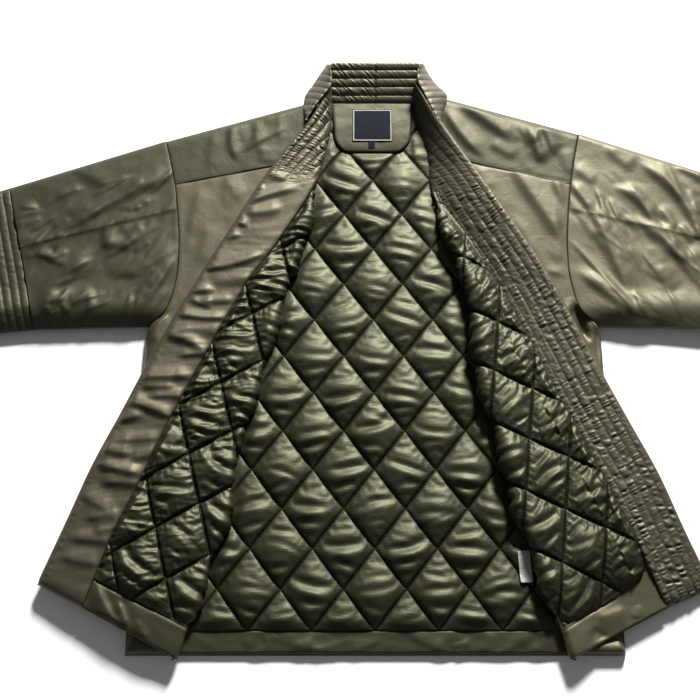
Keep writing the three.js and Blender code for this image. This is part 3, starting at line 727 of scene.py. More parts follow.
class COAT_OT_back(bpy.types.Operator):
    """Makes the back: its shell, its hem facing and the facing under the neck"""

    bl_idname = "coat.back"
    bl_label = "Back and facings"

    def execute(self, context):
        across = np.linspace(-1, 1, 121)[None, :]
        past_neck = (np.abs(across) * SHOULDER_X - NECK_HALF) / (SHOULDER_X - NECK_HALF)
        top = lerp(NECK_Y, SHOULDER_Y, np.maximum(past_neck, 0))
        y = HEM_Y + np.linspace(0, 1, 120)[:, None] * (top - HEM_Y)
        body = np.array(HALF_BODY[:11], float)
        half = np.interp(y, body[:, 1], body[:, 0])
        x = across * half
        edge = np.minimum((1 - np.abs(across)) * half, y - HEM_Y)
        z = Z_SHELL + 0.3 * ripple(x / 60, y / 60, 11) * ease(edge / 30)
        shell = lay_sheet("back_shell", (x, y, z), 1.7)
        sew_in(shell, shell_cloth(), "shell_taffeta", "back_shell")

        self.facing("back_hem_facing", half_top=284.5, half_low=284.5, low=HEM_Y + 1,
                    high=HEM_Y + HEM_DEPTH, height=Z_LINING - 0.4, corner=0)
        self.facing("neck_facing", half_top=56, half_low=50, low=NECK_FACING_Y, high=NECK_Y - 0.3,
                    height=10.6, corner=24)
        return {"FINISHED"}

    def facing(self, name, half_top, half_low, low, high, height, corner):
        """A plain strip of shell cloth, turned in at its edge, with round lower corners if asked."""
        tall = high - low
        t = np.linspace(0, 1, max(int(tall / 1.6), 12))[:, None]
        across = np.linspace(-1, 1, int(half_top / 1.1))[None, :]
        y = low + t * tall
        half = lerp(half_low, half_top, t)
        if corner:
            rise = np.clip((corner - (y - low)) / corner, 0, 1)
            half = half - corner * (1 - np.sqrt(1 - rise ** 2))
        x = across * half
        edge = np.minimum(half * (1 - np.abs(across)), y - low)
        z = height - 3 + roll(edge, 4, 3) + 0.5 * ripple(x / 24, y / 14, 21) * ease(edge / 5)
        z += creases(x, y, BACK_HEM_FOLDS + strewn(22, 14, (-220, -388, 220, -368), 35, 40, 0.9, 4))
        z += neck_rise(y) * (corner > 0)
        # The facings get the darker copy of the shell taffeta: painted shade.
        piece = sew_in(lay_sheet(name, (x, y, z), 1.6), shell_painted_shade_cloth(), "shell_taffeta", name)


def neck_rise(y):
    """How much the facing under the neck bulges, from its lower edge up to the neck seam."""
    up = np.clip((y - NECK_FACING_Y) / (NECK_Y - NECK_FACING_Y), 0, 1)
    return 2.4 * np.sin(np.pi * up ** 0.8)


def back_lining_height(x, y, m, n):
    """The back lining's height. It is flatter under the folded-back fronts, comes down to the hem, and
    stays below the facing under the neck."""
    keep_y = np.clip(y, HEM_Y + HEM_DEPTH - 2, NECK_Y - 2)
    under = ease((fold_x("right", keep_y) - x + 4) / 40) * ease((x + fold_x("left", keep_y)) / 20)
    rise = quilt_height(m, n) * lerp(0.3, 1, under) * ease((y - HEM_Y - HEM_DEPTH + 4) / 20)
    z = Z_LINING + rise + 0.8 * ripple(x / 120, y / 110, 31)
    past_facing = np.maximum(np.abs(x) - 52, 0) + np.maximum(NECK_FACING_Y - y, 0)
    return np.minimum(z, 8.4 + 0.5 * past_facing)


class COAT_OT_back_lining(bpy.types.Operator):
    """Makes the quilted lining of the back"""

    bl_idname = "coat.back_lining"
    bl_label = "Back lining"

    def execute(self, context):
        x, y, m, n = lattice_grid("back", (-7, -8), (7, 7), QUILT_GRAIN)
        keep_y = np.clip(y, HEM_Y + HEM_DEPTH - 2, NECK_Y - 2)
        # It reaches 34 mm under the folded-back fronts.
        inside = (x > -fold_x("left", keep_y) - 34) & (x < fold_x("right", keep_y) + 34)
        inside &= (y > HEM_Y + HEM_DEPTH - 3) & (y < NECK_Y - 2)
        inside &= ~((np.abs(x) < 46) & (y > 290))
        lining = lay_sheet("back_lining", (x, y, back_lining_height(x, y, m, n)), 1.0,
                           cloth=steps_to_cloth(m, n), quilt=(m, n), keep=squares(inside))
        sew_in(lining, lining_cloth(), "lining_satin", "back_lining")
        return {"FINISHED"}


class COAT_OT_labels(bpy.types.Operator):
    """Makes the neck label, the size tab and the care label, all bare"""

    bl_idname = "coat.labels"
    bl_label = "Labels"

    def execute(self, context):
        c = colours()
        navy = woven("Damask label, woven", tuple(c.label))
        pale = woven("Damask label edge, woven", tuple(c.border))
        white = woven("Satin tape, white", tuple(c.tape), 1.777, 0.4)
        neck = self.patch("neck_label", (0, 304), (53, 48), 0, 11.6)
        sew_in(neck, navy, "label_weave", "neck_label")
        # A pale line, 1.4 mm wide, runs round the label near its edge.
        neck.data.materials.append(pale)
        half_size, middle = np.array([26.5, 24.0]) / 1000, np.array([0, 0.309])
        for face in neck.data.polygons:
            off = half_size - np.abs(np.array(face.center[:2]) - middle)
            face.material_index = int(0.0008 < min(off) < 0.0022)
        tab = self.patch("size_tab", (-1, 275), (8.4, 9.6), 0, 11.3)
        sew_in(tab, navy, "label_weave", "size_tab")
        care = self.patch("care_label", (181, -288.5), (15, 38), 4, None)
        sew_in(care, white, "care_tape", "care_label")
        return {"FINISHED"}

    def patch(self, name, middle, size, turn, height):
        """A flat label, turned by some degrees, at a height on the facing under the neck, or without one
        on the highest places of the lining below it."""
        x, y = np.meshgrid(*(np.linspace(-0.5, 0.5, max(int(side / 0.7), 12)) * side for side in size))
        a = math.radians(turn)
        px = middle[0] + x * math.cos(a) - y * math.sin(a)
        py = middle[1] + x * math.sin(a) + y * math.cos(a)
        if height is None:
            nearby = [(px + dx, py + dy) for dx in (-4, 0, 4) for dy in (-5, 0, 5)]
            height = 1.3 + np.max(
                [back_lining_height(u, v, *in_lattice("back", u, v)) for u, v in nearby], axis=0)
        else:
            height = height + neck_rise(py)
        return lay_sheet(name, (px, py, height + 0.35 * ripple(x / 16 + 3, y / 13, 41)), 0.7)


# ---------------------------------------------------------------- fronts
PANEL_FOLDS = {
    "left": [
        (-236, 139, -226, 210, 0, 1.4, 8), (-172, 189, -196, 228, 0, 1.6, 8),
        (-224, 98, -212, 159, 0, 1.4, 8), (-254, 52, -270, 21, 0, 1.5, 3),
        (-284, -8, -268, 34, 3, 3.4, 5),
    ],
    "right": [
        (255, 124, 181, 247, 0, 4.2, 9), (255, 181, 238, 226, 0, 2.2, 6), (261, 83, 219, 92, 0, 1.0, 4),
        (273, 56, 239, 29, 0, 2.0, 4), (152, 203, 140, 241, 0, 1.5, 6), (260, 140, 234, 102, 0, 1.5, 7),
    ],
}
YOKE_FOLDS = {
    "left": [
        (-179, 247, -185, 304, 6, 2.2, 5), (-112, 298, -179, 259, -1, 1.5, 4),
        (-214, 230, -211, 288, 0, 1.2, 8), (-115, 337, -153, 322, 0, 1.3, 6),
    ],
    "right": [
        (192, 276, 114, 338, -1, 4.2, 8), (148, 254, 96, 328, 5, 3.5, 6),
        (227, 243, 207, 302, 0, 3.5, 6), (242, 256, 225, 305, -2, 3.5, 6),
        (215, 272, 223, 304, 0, 1.5, 3), (191, 253, 156, 275, 0, 2.0, 7),
        (261, 227, 253, 267, 0, 1.6, 7),
    ],
}
SLEEVE_FOLDS = {
    "left": [
        (-252, 234, -417, 135, -6, 3.4, 7), (-364, 114, -427, 34, -7, 3.3, 8),
        (-251, 127, -339, 82, 7, 2.2, 6), (-257, 114, -298, 36, 2, 3.3, 6),
        (-394, 96, -441, 119, 0, 1.7, 4), (-346, 117, -348, 159, 0, 1.8, 6),
        (-310, 124, -352, 130, 0, 2.2, 6), (-445, 191, -467, 147, 0, 1.5, 6),
        (-353, 178, -380, 153, 0, 1.1, 3), (-399, 142, -412, 117, 0, 1.5, 3),
        (-399, 59, -425, 32, 0, 2.0, 4), (-354, 58, -392, 44, 0, 3.0, 6),
        (-335, 205, -419, 250, 0, 1.5, 8), (-366, 16, -359, 53, 0, 2.4, 4),
        (-318, 18, -310, 60, 0, 1.8, 3), (-308, 15, -298, 57, 0, 1.8, 3),
        (-397, 7, -420, 44, 0, 1.8, 3), (-382, 14, -400, 51, 0, 2.4, 4),
    ],
    "right": [
        (289, 173, 261, 216, 0, 2.9, 5), (307, 161, 293, 208, 0, 1.8, 3),
        (321, 161, 309, 195, 0, 1.5, 3), (369, 156, 321, 211, -6, 4.1, 6),
        (426, 140, 353, 246, -12, 4.4, 7), (394, 146, 374, 183, 0, 2.0, 4),
        (440, 217, 400, 246, 0, 2.2, 6), (333, 53, 290, 180, 2, 3.9, 8), (354, 11, 264, 92, -1, 4.7, 7),
        (348, 6, 255, 134, -3, 2.0, 3), (413, 80, 344, 163, -8, 4.4, 7),
        (394, 118, 379, 159, 0, 2.0, 4), (413, 129, 398, 155, 0, 2.0, 4), (353, 11, 335, 56, 0, 2.9, 5),
        (294, 215, 265, 240, 0, 1.5, 6), (345, 234, 310, 270, 0, 2.2, 8),
        (289, 131, 274, 176, 0, 1.5, 6), (424, 66, 414, 126, 0, 3.0, 7), (384, 62, 366, 100, 0, 2.0, 7),
    ],
}
# Folds across the left band, from its free edge to its sewn edge.
BAND_FOLDS = [
    (-95, 206, -177, 179, -2, 2.9, 5), (-161, 150, -191, 161, 0, 2.4, 4),
    (-133, 117, -231, 92, 8, 3.3, 5), (-201, 61, -252, 60, 0, 2.9, 5), (-204, 38, -237, 50, 0, 2.2, 4),
    (-177, 47, -220, 46, 0, 2.0, 4), (-180, 25, -260, 32, 4, 2.8, 4), (-211, -21, -273, 4, -5, 3.7, 6),
    (-201, -22, -248, -27, 0, 2.4, 4), (-223, -53, -303, -54, 0, 3.5, 6),
    (-246, -67, -293, -65, 0, 3.0, 6), (-231, -79, -281, -79, 0, 2.9, 5),
    (-244, -108, -316, -81, -1, 3.8, 6), (-284, -102, -336, -113, 0, 3.0, 6),
    (-261, -132, -321, -136, 0, 2.2, 5), (-296, -153, -339, -145, 0, 3.9, 7),
    (-281, -178, -344, -163, 1, 3.9, 6), (-282, -189, -336, -186, 0, 3.0, 6),
    (-321, -222, -358, -202, 0, 2.2, 6), (-111, 217, -148, 229, 0, 2.5, 5),
    (-142, 208, -170, 200, 0, 2.4, 4), (-169, 138, -210, 131, 0, 2.0, 4),
    (-305, -226, -353, -232, 0, 2.2, 6), (-311, -261, -371, -254, 0, 2.6, 6),
    (-328, -287, -378, -278, 0, 2.2, 6), (-146, 82, -214, 74, 3, 1.8, 7),
    (-186, 0, -252, 10, -3, 2.0, 7), (-118, 176, -168, 170, 3, 2.0, 6),
    (-262, -150, -300, -158, 0, 2.4, 6), (-302, -240, -340, -246, 2, 2.0, 7),
]

# How much lower the hem of each folded-back front lies than its fold, at the fold and at the band.
HEM_DROP = {"right": (9, 14), "left": (1, 4)}
# Folds across the facings along the hems of the folded-back fronts.
HEM_FOLDS = {
    "left": [
        (-334, -308, -298, -366, -4, 3.4, 6), (-306, -330, -292, -362, 0, 2.8, 4),
        (-284, -352, -268, -378, 0, 1.6, 6), (-326, -304, -256, -368, 0, 1.0, 9),
    ],
    "right": [
        (262, -352, 300, -340, 0, 2.2, 7), (255, -362, 281, -378, 0, -2.2, 5),
        (321, -318, 338, -341, 0, -2.6, 5), (306, -352, 322, -330, 0, 1.5, 7),
    ],
}
# The small knot of cloth under the right sleeve.
UNDERARM_FOLDS = [
    (269, 52, 274, -4, -5, -11.0, 6), (279, 46, 288, 6, 3, 8.0, 3), (289, 42, 294, 6, 2, -8.0, 4),
]
BACK_HEM_FOLDS = [
    (-60, -388, -120, -372, 0, 1.2, 5), (90, -390, 40, -368, 0, 1.4, 5),
    (190, -368, 150, -388, 0, 1.2, 5), (10, -372, -30, -390, 0, 1.0, 4),
]
# The boxes that smaller folds are strewn over, and the angles that they lean at.
STREWN = {
    "panel": {"left": ((-290, -380, -150, 200), 85), "right": ((150, -380, 290, 200), 115)},
    "yoke": {"left": ((-260, 230, -100, 320), 80), "right": ((100, 230, 260, 320), 115)},
    "sleeve": {"left": ((-460, 20, -270, 230), 215), "right": ((290, 20, 460, 230), 125)},
}


def strewn(seed, count, box, lean, long, rise, wide):
    """Smaller folds strewn over a box: they lean at about one angle, and vary in size."""
    rng = np.random.default_rng(seed)
    table = []
    for _ in range(count):
        x, y = rng.uniform(box[0], box[2]), rng.uniform(box[1], box[3])
        turn, half = math.radians(rng.normal(lean, 16)), long * rng.uniform(0.2, 0.6)
        dx, dy = half * math.cos(turn), half * math.sin(turn)
        table.append((x - dx, y - dy, x + dx, y + dy, rng.uniform(-0.1, 0.1) * half,
                      rise * rng.uniform(0.4, 1.2), wide * rng.uniform(0.6, 1.4)))
    return table


def patch_between(first, last, columns):
    """The x and the y of a grid, from one line of points to another."""
    t = np.linspace(0, 1, columns)
    return (first[:, axis, None] * (1 - t) + last[:, axis, None] * t for axis in (0, 1))


class COAT_OT_fronts(bpy.types.Operator):
    """Makes the outer part of each front, with its yoke, lying on the back"""

    bl_idname = "coat.fronts"
    bl_label = "Fronts and yokes"

    def execute(self, context):
        for side in SIDES:
            self.panel(side)
            self.yoke(side)
        return {"FINISHED"}

    def panel(self, side):
        body = half_body(side)
        down_y = np.linspace(-16, HEM_Y, 170)
        outer = np.concatenate([smooth_line(body[2:9][::-1], 110),
                                stacked(across_at(body[2::-1], down_y), down_y)])
        inner_y = np.concatenate([np.linspace(YOKE_SEAM[side][1][1] - 1, -16, 110), down_y])
        x, y = patch_between(outer, stacked(fold_x(side, inner_y) + 8, inner_y), 80)
        edge = np.hypot(x - x[:, :1], y - y[:, :1])
        # It is sewn in at the armhole, and bends round at the coat's side and at the hem.
        z = lerp(2.6 + roll(edge, 19, Z_FRONT - 3.2), Z_FRONT - 0.5 + sewn_line(edge),
                 ease((y[:, :1] - 12) / 30))
        at_hem = y - HEM_Y
        z = np.minimum(z, 3 + roll(at_hem, 12, 12) + 5 * ease(at_hem / 40))
        yoke_seam = from_line(x, y, np.array(YOKE_SEAM[side], float))[0]
        z += sewn_line(yoke_seam)
        hang = np.maximum(droop_at_fold(side, 0.93 * (fold_x(side, y) - x) + 8), 0)
        hang += self.below_band(side, x, y)
        z = np.maximum(z - hang * ease(at_hem / 30), 3)
        calm = ease(edge / 18) * ease((at_hem - 2) / 18)
        x = x * SIDES[side]
        bumps = 0.7 * ripple(x / 45, y / 70, 51) + 0.2 * ripple(x / 18, y / 22, 52)
        bumps += creases(x, y, PANEL_FOLDS[side] + strewn(53, 30, *STREWN["panel"][side], 70, 0.9, 6))
        z += calm * bumps * sizes().crumple
        if side == "right":
            z -= 7 * np.exp(-((y + 8) / 32) ** 2) * ease((x - 258) / 22) * ease(edge / 8)
            z += ease(edge / 4) * creases(x, y, UNDERARM_FOLDS)
            z = np.maximum(z, 2.5)
        name = f"front_panel_{side}"
        piece = lay_sheet(name, (x, y, z), 1.2, seams=(np.where(y > 30, edge, NO_SEAM), yoke_seam))
        sew_in(piece, shell_cloth(), "shell_taffeta", name)

    def below_band(self, side, x, y):
        """How far a front sinks, from 5 mm inside its band's free edge on."""
        band = across_at(smooth_line(BAND_FREE[side], 200), y)
        return BELOW_BAND[side] * ease((band - 5 - x) / 25)

    def yoke(self, side):
        body = half_body(side)
        outer = smooth_line(body[8:11][::-1], 46)
        inner = np.linspace((92, body[11, 1]), (80, YOKE_SEAM[side][1][1] + 0.3), 46)
        x, y = patch_between(outer, inner, 92)
        down = np.hypot(x - x[:1], y - y[:1])
        edge = np.hypot(x - x[:, :1], y - y[:, :1])
        seam = from_line(x, y, np.array(YOKE_SEAM[side], float))[0]
        z = 3 + roll(down, 16, Z_FRONT - 3.4) + sewn_line(edge) + sewn_line(seam)
        z -= self.below_band(side, x, y)
        x = x * SIDES[side]
        bumps = 0.6 * ripple(x / 50, y / 45, 55) + 0.15 * ripple(x / 17, y / 15, 56)
        bumps += creases(x, y, YOKE_FOLDS[side] + strewn(57, 9, *STREWN["yoke"][side], 50, 0.9, 6))
        z += ease(down / 16) * bumps * sizes().crumple
        name = f"front_yoke_{side}"
        piece = lay_sheet(name, (x, y, z), 1.2, seams=(edge, seam))
        # The yokes get the darker copy of the shell taffeta: painted shade.
        sew_in(piece, shell_painted_shade_cloth(), "shell_taffeta", name)


class COAT_OT_turned_fronts(bpy.types.Operator):
    """Makes the folded-back part of each front: quilted lining on top, hem facing, and shell below"""

    bl_idname = "coat.turned_fronts"
    bl_label = "Folded-back fronts"

    def execute(self, context):
        for side in SIDES:
            self.lining(side)
            self.facing(side)
            self.shell(side)
        return {"FINISHED"}

    def hem_lines(self, side):
        """The lower edge, from the fold to the band, and the line where the lining meets the facing."""
        low, high = [], []
        for table, deep in zip((FOLD, BAND_SEWN), TURNED_HEM[side]):
            line = side_line(table[side], side)
            up = line[-2] - line[-1]
            low.append(line[-1])
            high.append(line[-1] + deep * up / np.hypot(*up))
        return np.array(low), np.array(high)

    def bend(self, side, x, y, rise):
        """Lays flat cloth round the fold, with a rise along the cloth's own normal: its x, y and z, and
        how far it is beyond the fold, towards the middle of the coat."""
        line = smooth_line(side_line(FOLD[side], side), 60)
        radius, flatter = FOLD_ROUND[side]
        away, along = from_line(x, y, line)
        beyond = -SIDES[side] * away + 1.2 * ripple(along / 11, 3.5, 77)
        arc = np.clip((beyond + radius) / radius, 0, 0.92 * math.pi)
        step = np.gradient(line, axis=0)
        step /= np.hypot(*step.T)[:, None]
        tx, ty = (np.interp(along, lengths(line), part) for part in step.T)
        out = np.where(arc > 0, -radius + radius * np.sin(arc), beyond) - beyond + rise * np.sin(arc)
        drop = radius * flatter * (1 - np.cos(arc)) + droop_at_fold(side, beyond + radius)
        px, py = x + SIDES[side] * ty * out, y - SIDES[side] * tx * out
        return px, py, Z_TURNED - drop + rise * np.cos(arc), beyond

    def lining(self, side):
        name = f"front_lining_{side}"
        x, y, m, n = lattice_grid(side, (-10, -14), (12, 6), 2 * QUILT_GRAIN)
        past_fold, past_sewn = (from_line(x, y, smooth_line(side_line(table[side], side), 60))
                                for table in (FOLD, BAND_SEWN))
        past_sewn, along_sewn = SIDES[side] * past_sewn[0], past_sewn[1]
        above = SIDES[side] * from_line(x, y, self.hem_lines(side)[1])[0]
        inside = (-SIDES[side] * past_fold[0] < 13) & (past_sewn < 7) & (above > -1) & (y < 205)
        # The lining is too long for the band, so that it lies in folds: level on the left, and spreading
        # from the seam on the right.
        if side == "left":
            fold, reach, high = ripple((y - 0.12 * x) / 11, x / 38 + 5, 61), 90, 3.2
        else:
            fold = ripple((along_sewn + 0.35 * past_sewn) / 11, past_sewn / 30 + 5, 61)
            reach, high = 38, 2.9
        gather = (0.6 - 2 * np.abs(fold)) * np.exp(-np.maximum(-past_sewn, 0) / reach)
        rise = quilt_height(m + 4, n + 2) * ease(-past_sewn / 9) * ease((above + 4) / 20)
        rise += high * gather * ease((-past_sewn + 2) / 4) * ease((above + 1) / 8)
        rise += 1.0 * ripple(x / 60, y / 80, 62)
        px, py, z, beyond = self.bend(side, x, y, rise)
        z -= 3.0 * ease((past_sewn + 1) / 5)
        low = np.interp(along_sewn, lengths(np.array(BAND_SEWN[side], float)), BAND_HEIGHTS[side][1])
        z -= np.maximum(Z_TURNED - 2 - low, 0) * ease(1 + past_sewn / 30)
        z -= sum(HEM_DROP[side]) / 2 * ease(1 - above / 60)
        z = np.maximum(z, 9.5 + 0.5 * rise - 4 * ease(1 + beyond / 6))
        piece = lay_sheet(name, (px, py, z), 1.0, cloth=steps_to_cloth(m, n), quilt=(m, n),
                          keep=squares(inside))
        sew_in(piece, lining_cloth(), "lining_satin", name)

    def facing(self, side):
        name = f"turned_hem_facing_{side}"
        low, high = self.hem_lines(side)
        width = np.hypot(*(low[1] - low[0]))
        deep = sum(TURNED_HEM[side]) / 2
        s = np.linspace(-14 / width, 1 - 0.5 / width, 120)[None, :, None]
        t = np.linspace(0, 1 + 2 / deep, 36)[:, None, None]
        flat = lerp(lerp(low[0], low[1], s), lerp(high[0], high[1], s), t)
        x, y = flat[..., 0], flat[..., 1]
        across, up = s[..., 0] * width, t[..., 0] * deep
        rise = -2.2 + roll(up, 4, 2.4) + 0.6 * ripple(across / 22, up / 30 + 7, 71)
        rise += creases(x, y, HEM_FOLDS[side]) * ease(up / 8) * ease((deep - up) / 6)
        rise -= 1.2 * np.exp(-((deep - up) / 2.2) ** 2)
        px, py, z, _ = self.bend(side, x, y, rise)
        z -= lerp(*HEM_DROP[side], ease(s[..., 0]))
        piece = lay_sheet(name, (px, py, z), 1.6, cloth=(across, up))
        # The left hem facing gets the darker copy of the shell taffeta as painted shade; the right one
        # gets the shell taffeta.
        sew_in(piece, shell_cloth() if side == "right" else shell_painted_shade_cloth(), "shell_taffeta", name)

    def shell(self, side):
        name, rows = f"turned_shell_{side}", 150
        at = np.linspace(LINING_ROW, len(BAND_SEWN[side]) - 1, rows)
        sewn = smooth_line(side_line(BAND_SEWN[side], side), rows, at)
        fold = smooth_line(side_line([p for p in FOLD[side] if p[1] < 215], side), rows)
        x, y = patch_between(sewn, fold, 40)
        to_fold = np.hypot(x - x[:, -1:], y - y[:, -1:])
        z = Z_UNDER_TURNED - 7 * (side == "right") + 0.4 * ripple(x / 40, y / 50, 75)
        z -= droop_at_fold(side, 5 - to_fold)
        piece = sew_in(lay_sheet(name, (x, y, z), 1.0), shell_cloth(), "shell_taffeta", name)


# ---------------------------------------------------------------- the band
# Heights of the free and of the sewn edge of each band, by the rows of the tables of their lines.
BAND_HEIGHTS = {
    "right": ([40, 40, 40, 40, 40, 40, 39, 37, 36, 34, 30, 22, 14],
              [9, 9, 9, 10, 14, 17, 20, 22, 24, 25, 25, 23, 17]),
    "left": ([36, 33, 30, 28, 27, 27, 27, 27, 26, 26, 25, 23, 21],
             [15, 15, 16, 19, 24, 27, 28, 28, 28, 28, 28, 27, 25]),
}
# The band's outer face at each side of the neck: its raised free edge, the neck seam, and a height.
BAND_SIDE = {
    "left": ([(57, 384), (54, 366), (55, 352), (64, 338), (76, 321), (88, 300)],
             [(60, 396), (70, 379), (81, 360), (91, 343), (93, 330), (90, 304)], 35.0),
    "right": ([(67, 384), (60, 372), (60, 358), (68, 338), (78, 316), (92, 292)],
              [(70, 396), (76, 380), (87, 362), (101, 345), (97, 322), (93, 296)], 38.0),
}


def puckered_rows(from_edge, along, seed, strong=1.0, pitch=8.0, swell=2.2):
    """Heights of rows of gathered padding: low on the stitched lines, with puckers between them."""
    place = from_edge / (sizes().row * 1000)
    row = np.floor(place)
    round_row = np.abs(np.sin(np.pi * place)) ** 0.6
    drift = ripple(along / 18, row * 5.37 + 0.5, seed) * 2.2
    skew = 0.3 * ripple(along / 60 + 9, row * 3.1 + 0.5, seed + 1) * (place - row - 0.5) * 2
    phase = along / pitch + drift + row * 0.47 + skew
    pucker = (phase - np.floor(phase)) ** 1.2 * (1 - (phase - np.floor(phase)) ** 3.5) * 2.0
    uneven = np.maximum(0.7 + 1.3 * ripple(along / 15, row * 2.3 + 0.5, seed + 2), 0.05)
    small = 0.4 - np.abs(ripple(along / 6 + 0.3 * from_edge / 6, from_edge / 9, seed + 3))
    return swell * round_row + strong * round_row * (uneven * (pucker - 0.5) + 0.7 * small)


def to_row_line(from_edge):
    """How far off the nearest stitched row line is."""
    pitch = sizes().row * 1000
    return np.abs(from_edge - pitch * np.maximum(np.rint(from_edge / pitch), 1))


class COAT_OT_bands(bpy.types.Operator):
    """Makes the padded band along the edge of each front, folded back with it"""

    bl_idname = "coat.bands"
    bl_label = "Front bands"

    def execute(self, context):
        for side in SIDES:
            self.band(side)
        return {"FINISHED"}

    def band(self, side):
        name, right = f"band_front_{side}", side == "right"
        at = np.linspace(0, len(BAND_FREE[side]) - 1, 640)
        free, sewn = (smooth_line(side_line(table[side], side), len(at), at)
                      for table in (BAND_FREE, BAND_SEWN))
        width = np.hypot(*(free - sewn).T)[:, None]
        top, below = 56, 14
        s = np.linspace(0, 1, top)
        x, y = patch_between(free, sewn, top)
        from_edge, inner = s * width, width - s * width
        along = lengths(free)[:, None] + 0 * s
        # The rounded free edge, and the sewn edge, which is the fold itself near the neck.
        high, low = (np.interp(at, np.arange(13), heights)[:, None] for heights in BAND_HEIGHTS[side])
        bowed = 1 + 0.35 * (1 - ease((at - 4) / 3))[:, None] * right
        z = lerp(high, low, s ** bowed) - 5 + roll(from_edge, 5, 3.6)
        wraps = 1 - ease((at - LINING_ROW + 0.4) / 0.5)[:, None]
        z -= (1 - roll(inner, 8, 1)) * lerp(2.2, 6.0, wraps)
        # The right band is puckered in its rows. The left one is, too, near the neck, and then lies in
        # soft folds across it.
        if right:
            strong = lerp(1.0, 2.3, ease((along - 100) / 160))
            shape = puckered_rows(from_edge, along, 81, strong, 7.6, 0.5)
        else:
            soft = 1.6 + 0.7 * ripple(along / 21 + 0.25 * from_edge / 21, from_edge / 60 + 3, 92)
            soft += 1.2 * ripple(along / 5, from_edge / 20, 94) * np.exp(-(from_edge / 9) ** 2)
            folds = 1.35 * creases(x, y, BAND_FOLDS)
            folds += 0.35 * ripple((along + 0.55 * from_edge) / 8, from_edge / 40 + 7, 95)
            soft += folds * ease((from_edge + 1) / 14) * ease((inner + 4) / 6)
            shape = lerp(puckered_rows(from_edge, along, 91, 2.0, 7.0), soft, ease((along - 120) / 60))
        z = z + shape * ease((from_edge - 0.5) / 8) - 7 * (1 - roll(along[-1] - along, 16, 1))
        # The under layer, from the sewn edge back to the free edge.
        back = np.linspace(1, 0, below)
        under_x, under_y = patch_between(sewn, free, below)
        under_z = lerp(high - 9, np.minimum(Z_UNDER_TURNED + 0.2, low - 7), back)
        under_z = np.maximum(np.where(back > 0.99, z[:, -1:] - 2, under_z), 1)
        place = [np.concatenate([over, under, over[:, :1]], axis=1)
                 for over, under in ((x, under_x), (y, under_y), (z, under_z))]
        across = np.concatenate([from_edge, 130 - back * width, np.full((len(at), 1), 130.0)], axis=1)
        rows = to_row_line(np.concatenate([from_edge, np.full((len(at), below + 1), 55.0)], axis=1))
        rows = np.where(right | (along[:, :1] < 150), rows, NO_SEAM)
        piece = lay_cloth(name, place, cloth=(across, along[:, :1]), seams=(rows, NO_SEAM))
        join_tube(piece, closed=True)
        sew_in(piece, band_cloth(), "band_taffeta", name)


class COAT_OT_collar(bpy.types.Operator):
    """Makes the stand-up part of the band at the back of the neck, pressed flat, and its two sides"""

    bl_idname = "coat.collar"
    bl_label = "Collar"

    def execute(self, context):
        t = np.linspace(0, 1, 80)[:, None]
        across = np.linspace(-1, 1, 200)[None, :]
        half = lerp(NECK_HALF, COLLAR_TOP_HALF, t)
        x, y, up = across * half + 5 * t, lerp(NECK_Y, COLLAR_TOP_Y + 1, t), t * BAND_SEAM
        # The puckers lean, and end at the seam at the middle of the back.
        strong = lerp(1.2, 0.4, ease((x - 2) / 8)) * (1 + 0.7 * ripple(x / 14, up / 9, 103))
        shape = puckered_rows(BAND_SEAM - up, x + 1.1 * up, 101, strong, 10.0, 1.6)
        z = lerp(8.5, 32.0, t ** 0.9) + shape * ease(t / 0.05) + sewn_line(x - 4, 1.0, 1.8)
        z -= (1 - roll((1 - t) * BAND_SEAM, 4, 1)) * 3
        z -= (1 - roll((1 - np.abs(across)) * half, 6, 1)) * 2
        # Behind its top edge the band comes down to the floor again.
        down = np.linspace(0, 1, 14)[1:, None]
        x, y, z, up = (np.concatenate(pair) for pair in (
            (x, x[-1:] + 0 * down), (y, y[-1:] + 2 * np.sin(np.pi * down ** 0.5)),
            (z, lerp(z[-1:], 5.0, down)), (up, BAND_SEAM + 30 * down)))
        back = lay_sheet("band_back", (x, y, z), 4.5, cloth=(x, up),
                         seams=(to_row_line(BAND_SEAM - up), x - 4))
        sew_in(back, band_cloth(), "band_taffeta", "band_back_left", "band_back_right")
        for side in SIDES:
            self.side(side)
        return {"FINISHED"}

    def side(self, side):
        """The band's outer face, between its raised free edge and the neck seam."""
        name, columns = f"band_side_{side}", 34
        *edges, top = BAND_SIDE[side]
        inner, outer = (smooth_line(edge, 90) for edge in edges)
        x, y = patch_between(inner, outer, columns)
        edge = np.hypot(x - x[:, :1], y - y[:, :1])
        along = lengths(outer)[:, None] + 0 * x
        z = lerp(top, 19, np.linspace(0, 1, columns) ** 1.5) - (1 - roll(edge, 3, 1)) * 3
        z -= (1 - roll(along, 10, 1)) * 6
        z += 0.5 * puckered_rows(along, edge, 111, 1.2, 9.0)
        piece = lay_sheet(name, (x * SIDES[side], y, z), 2.0, cloth=(edge, along),
                          seams=(to_row_line(along), edge - 4))
        sew_in(piece, band_cloth(), "band_taffeta", name)


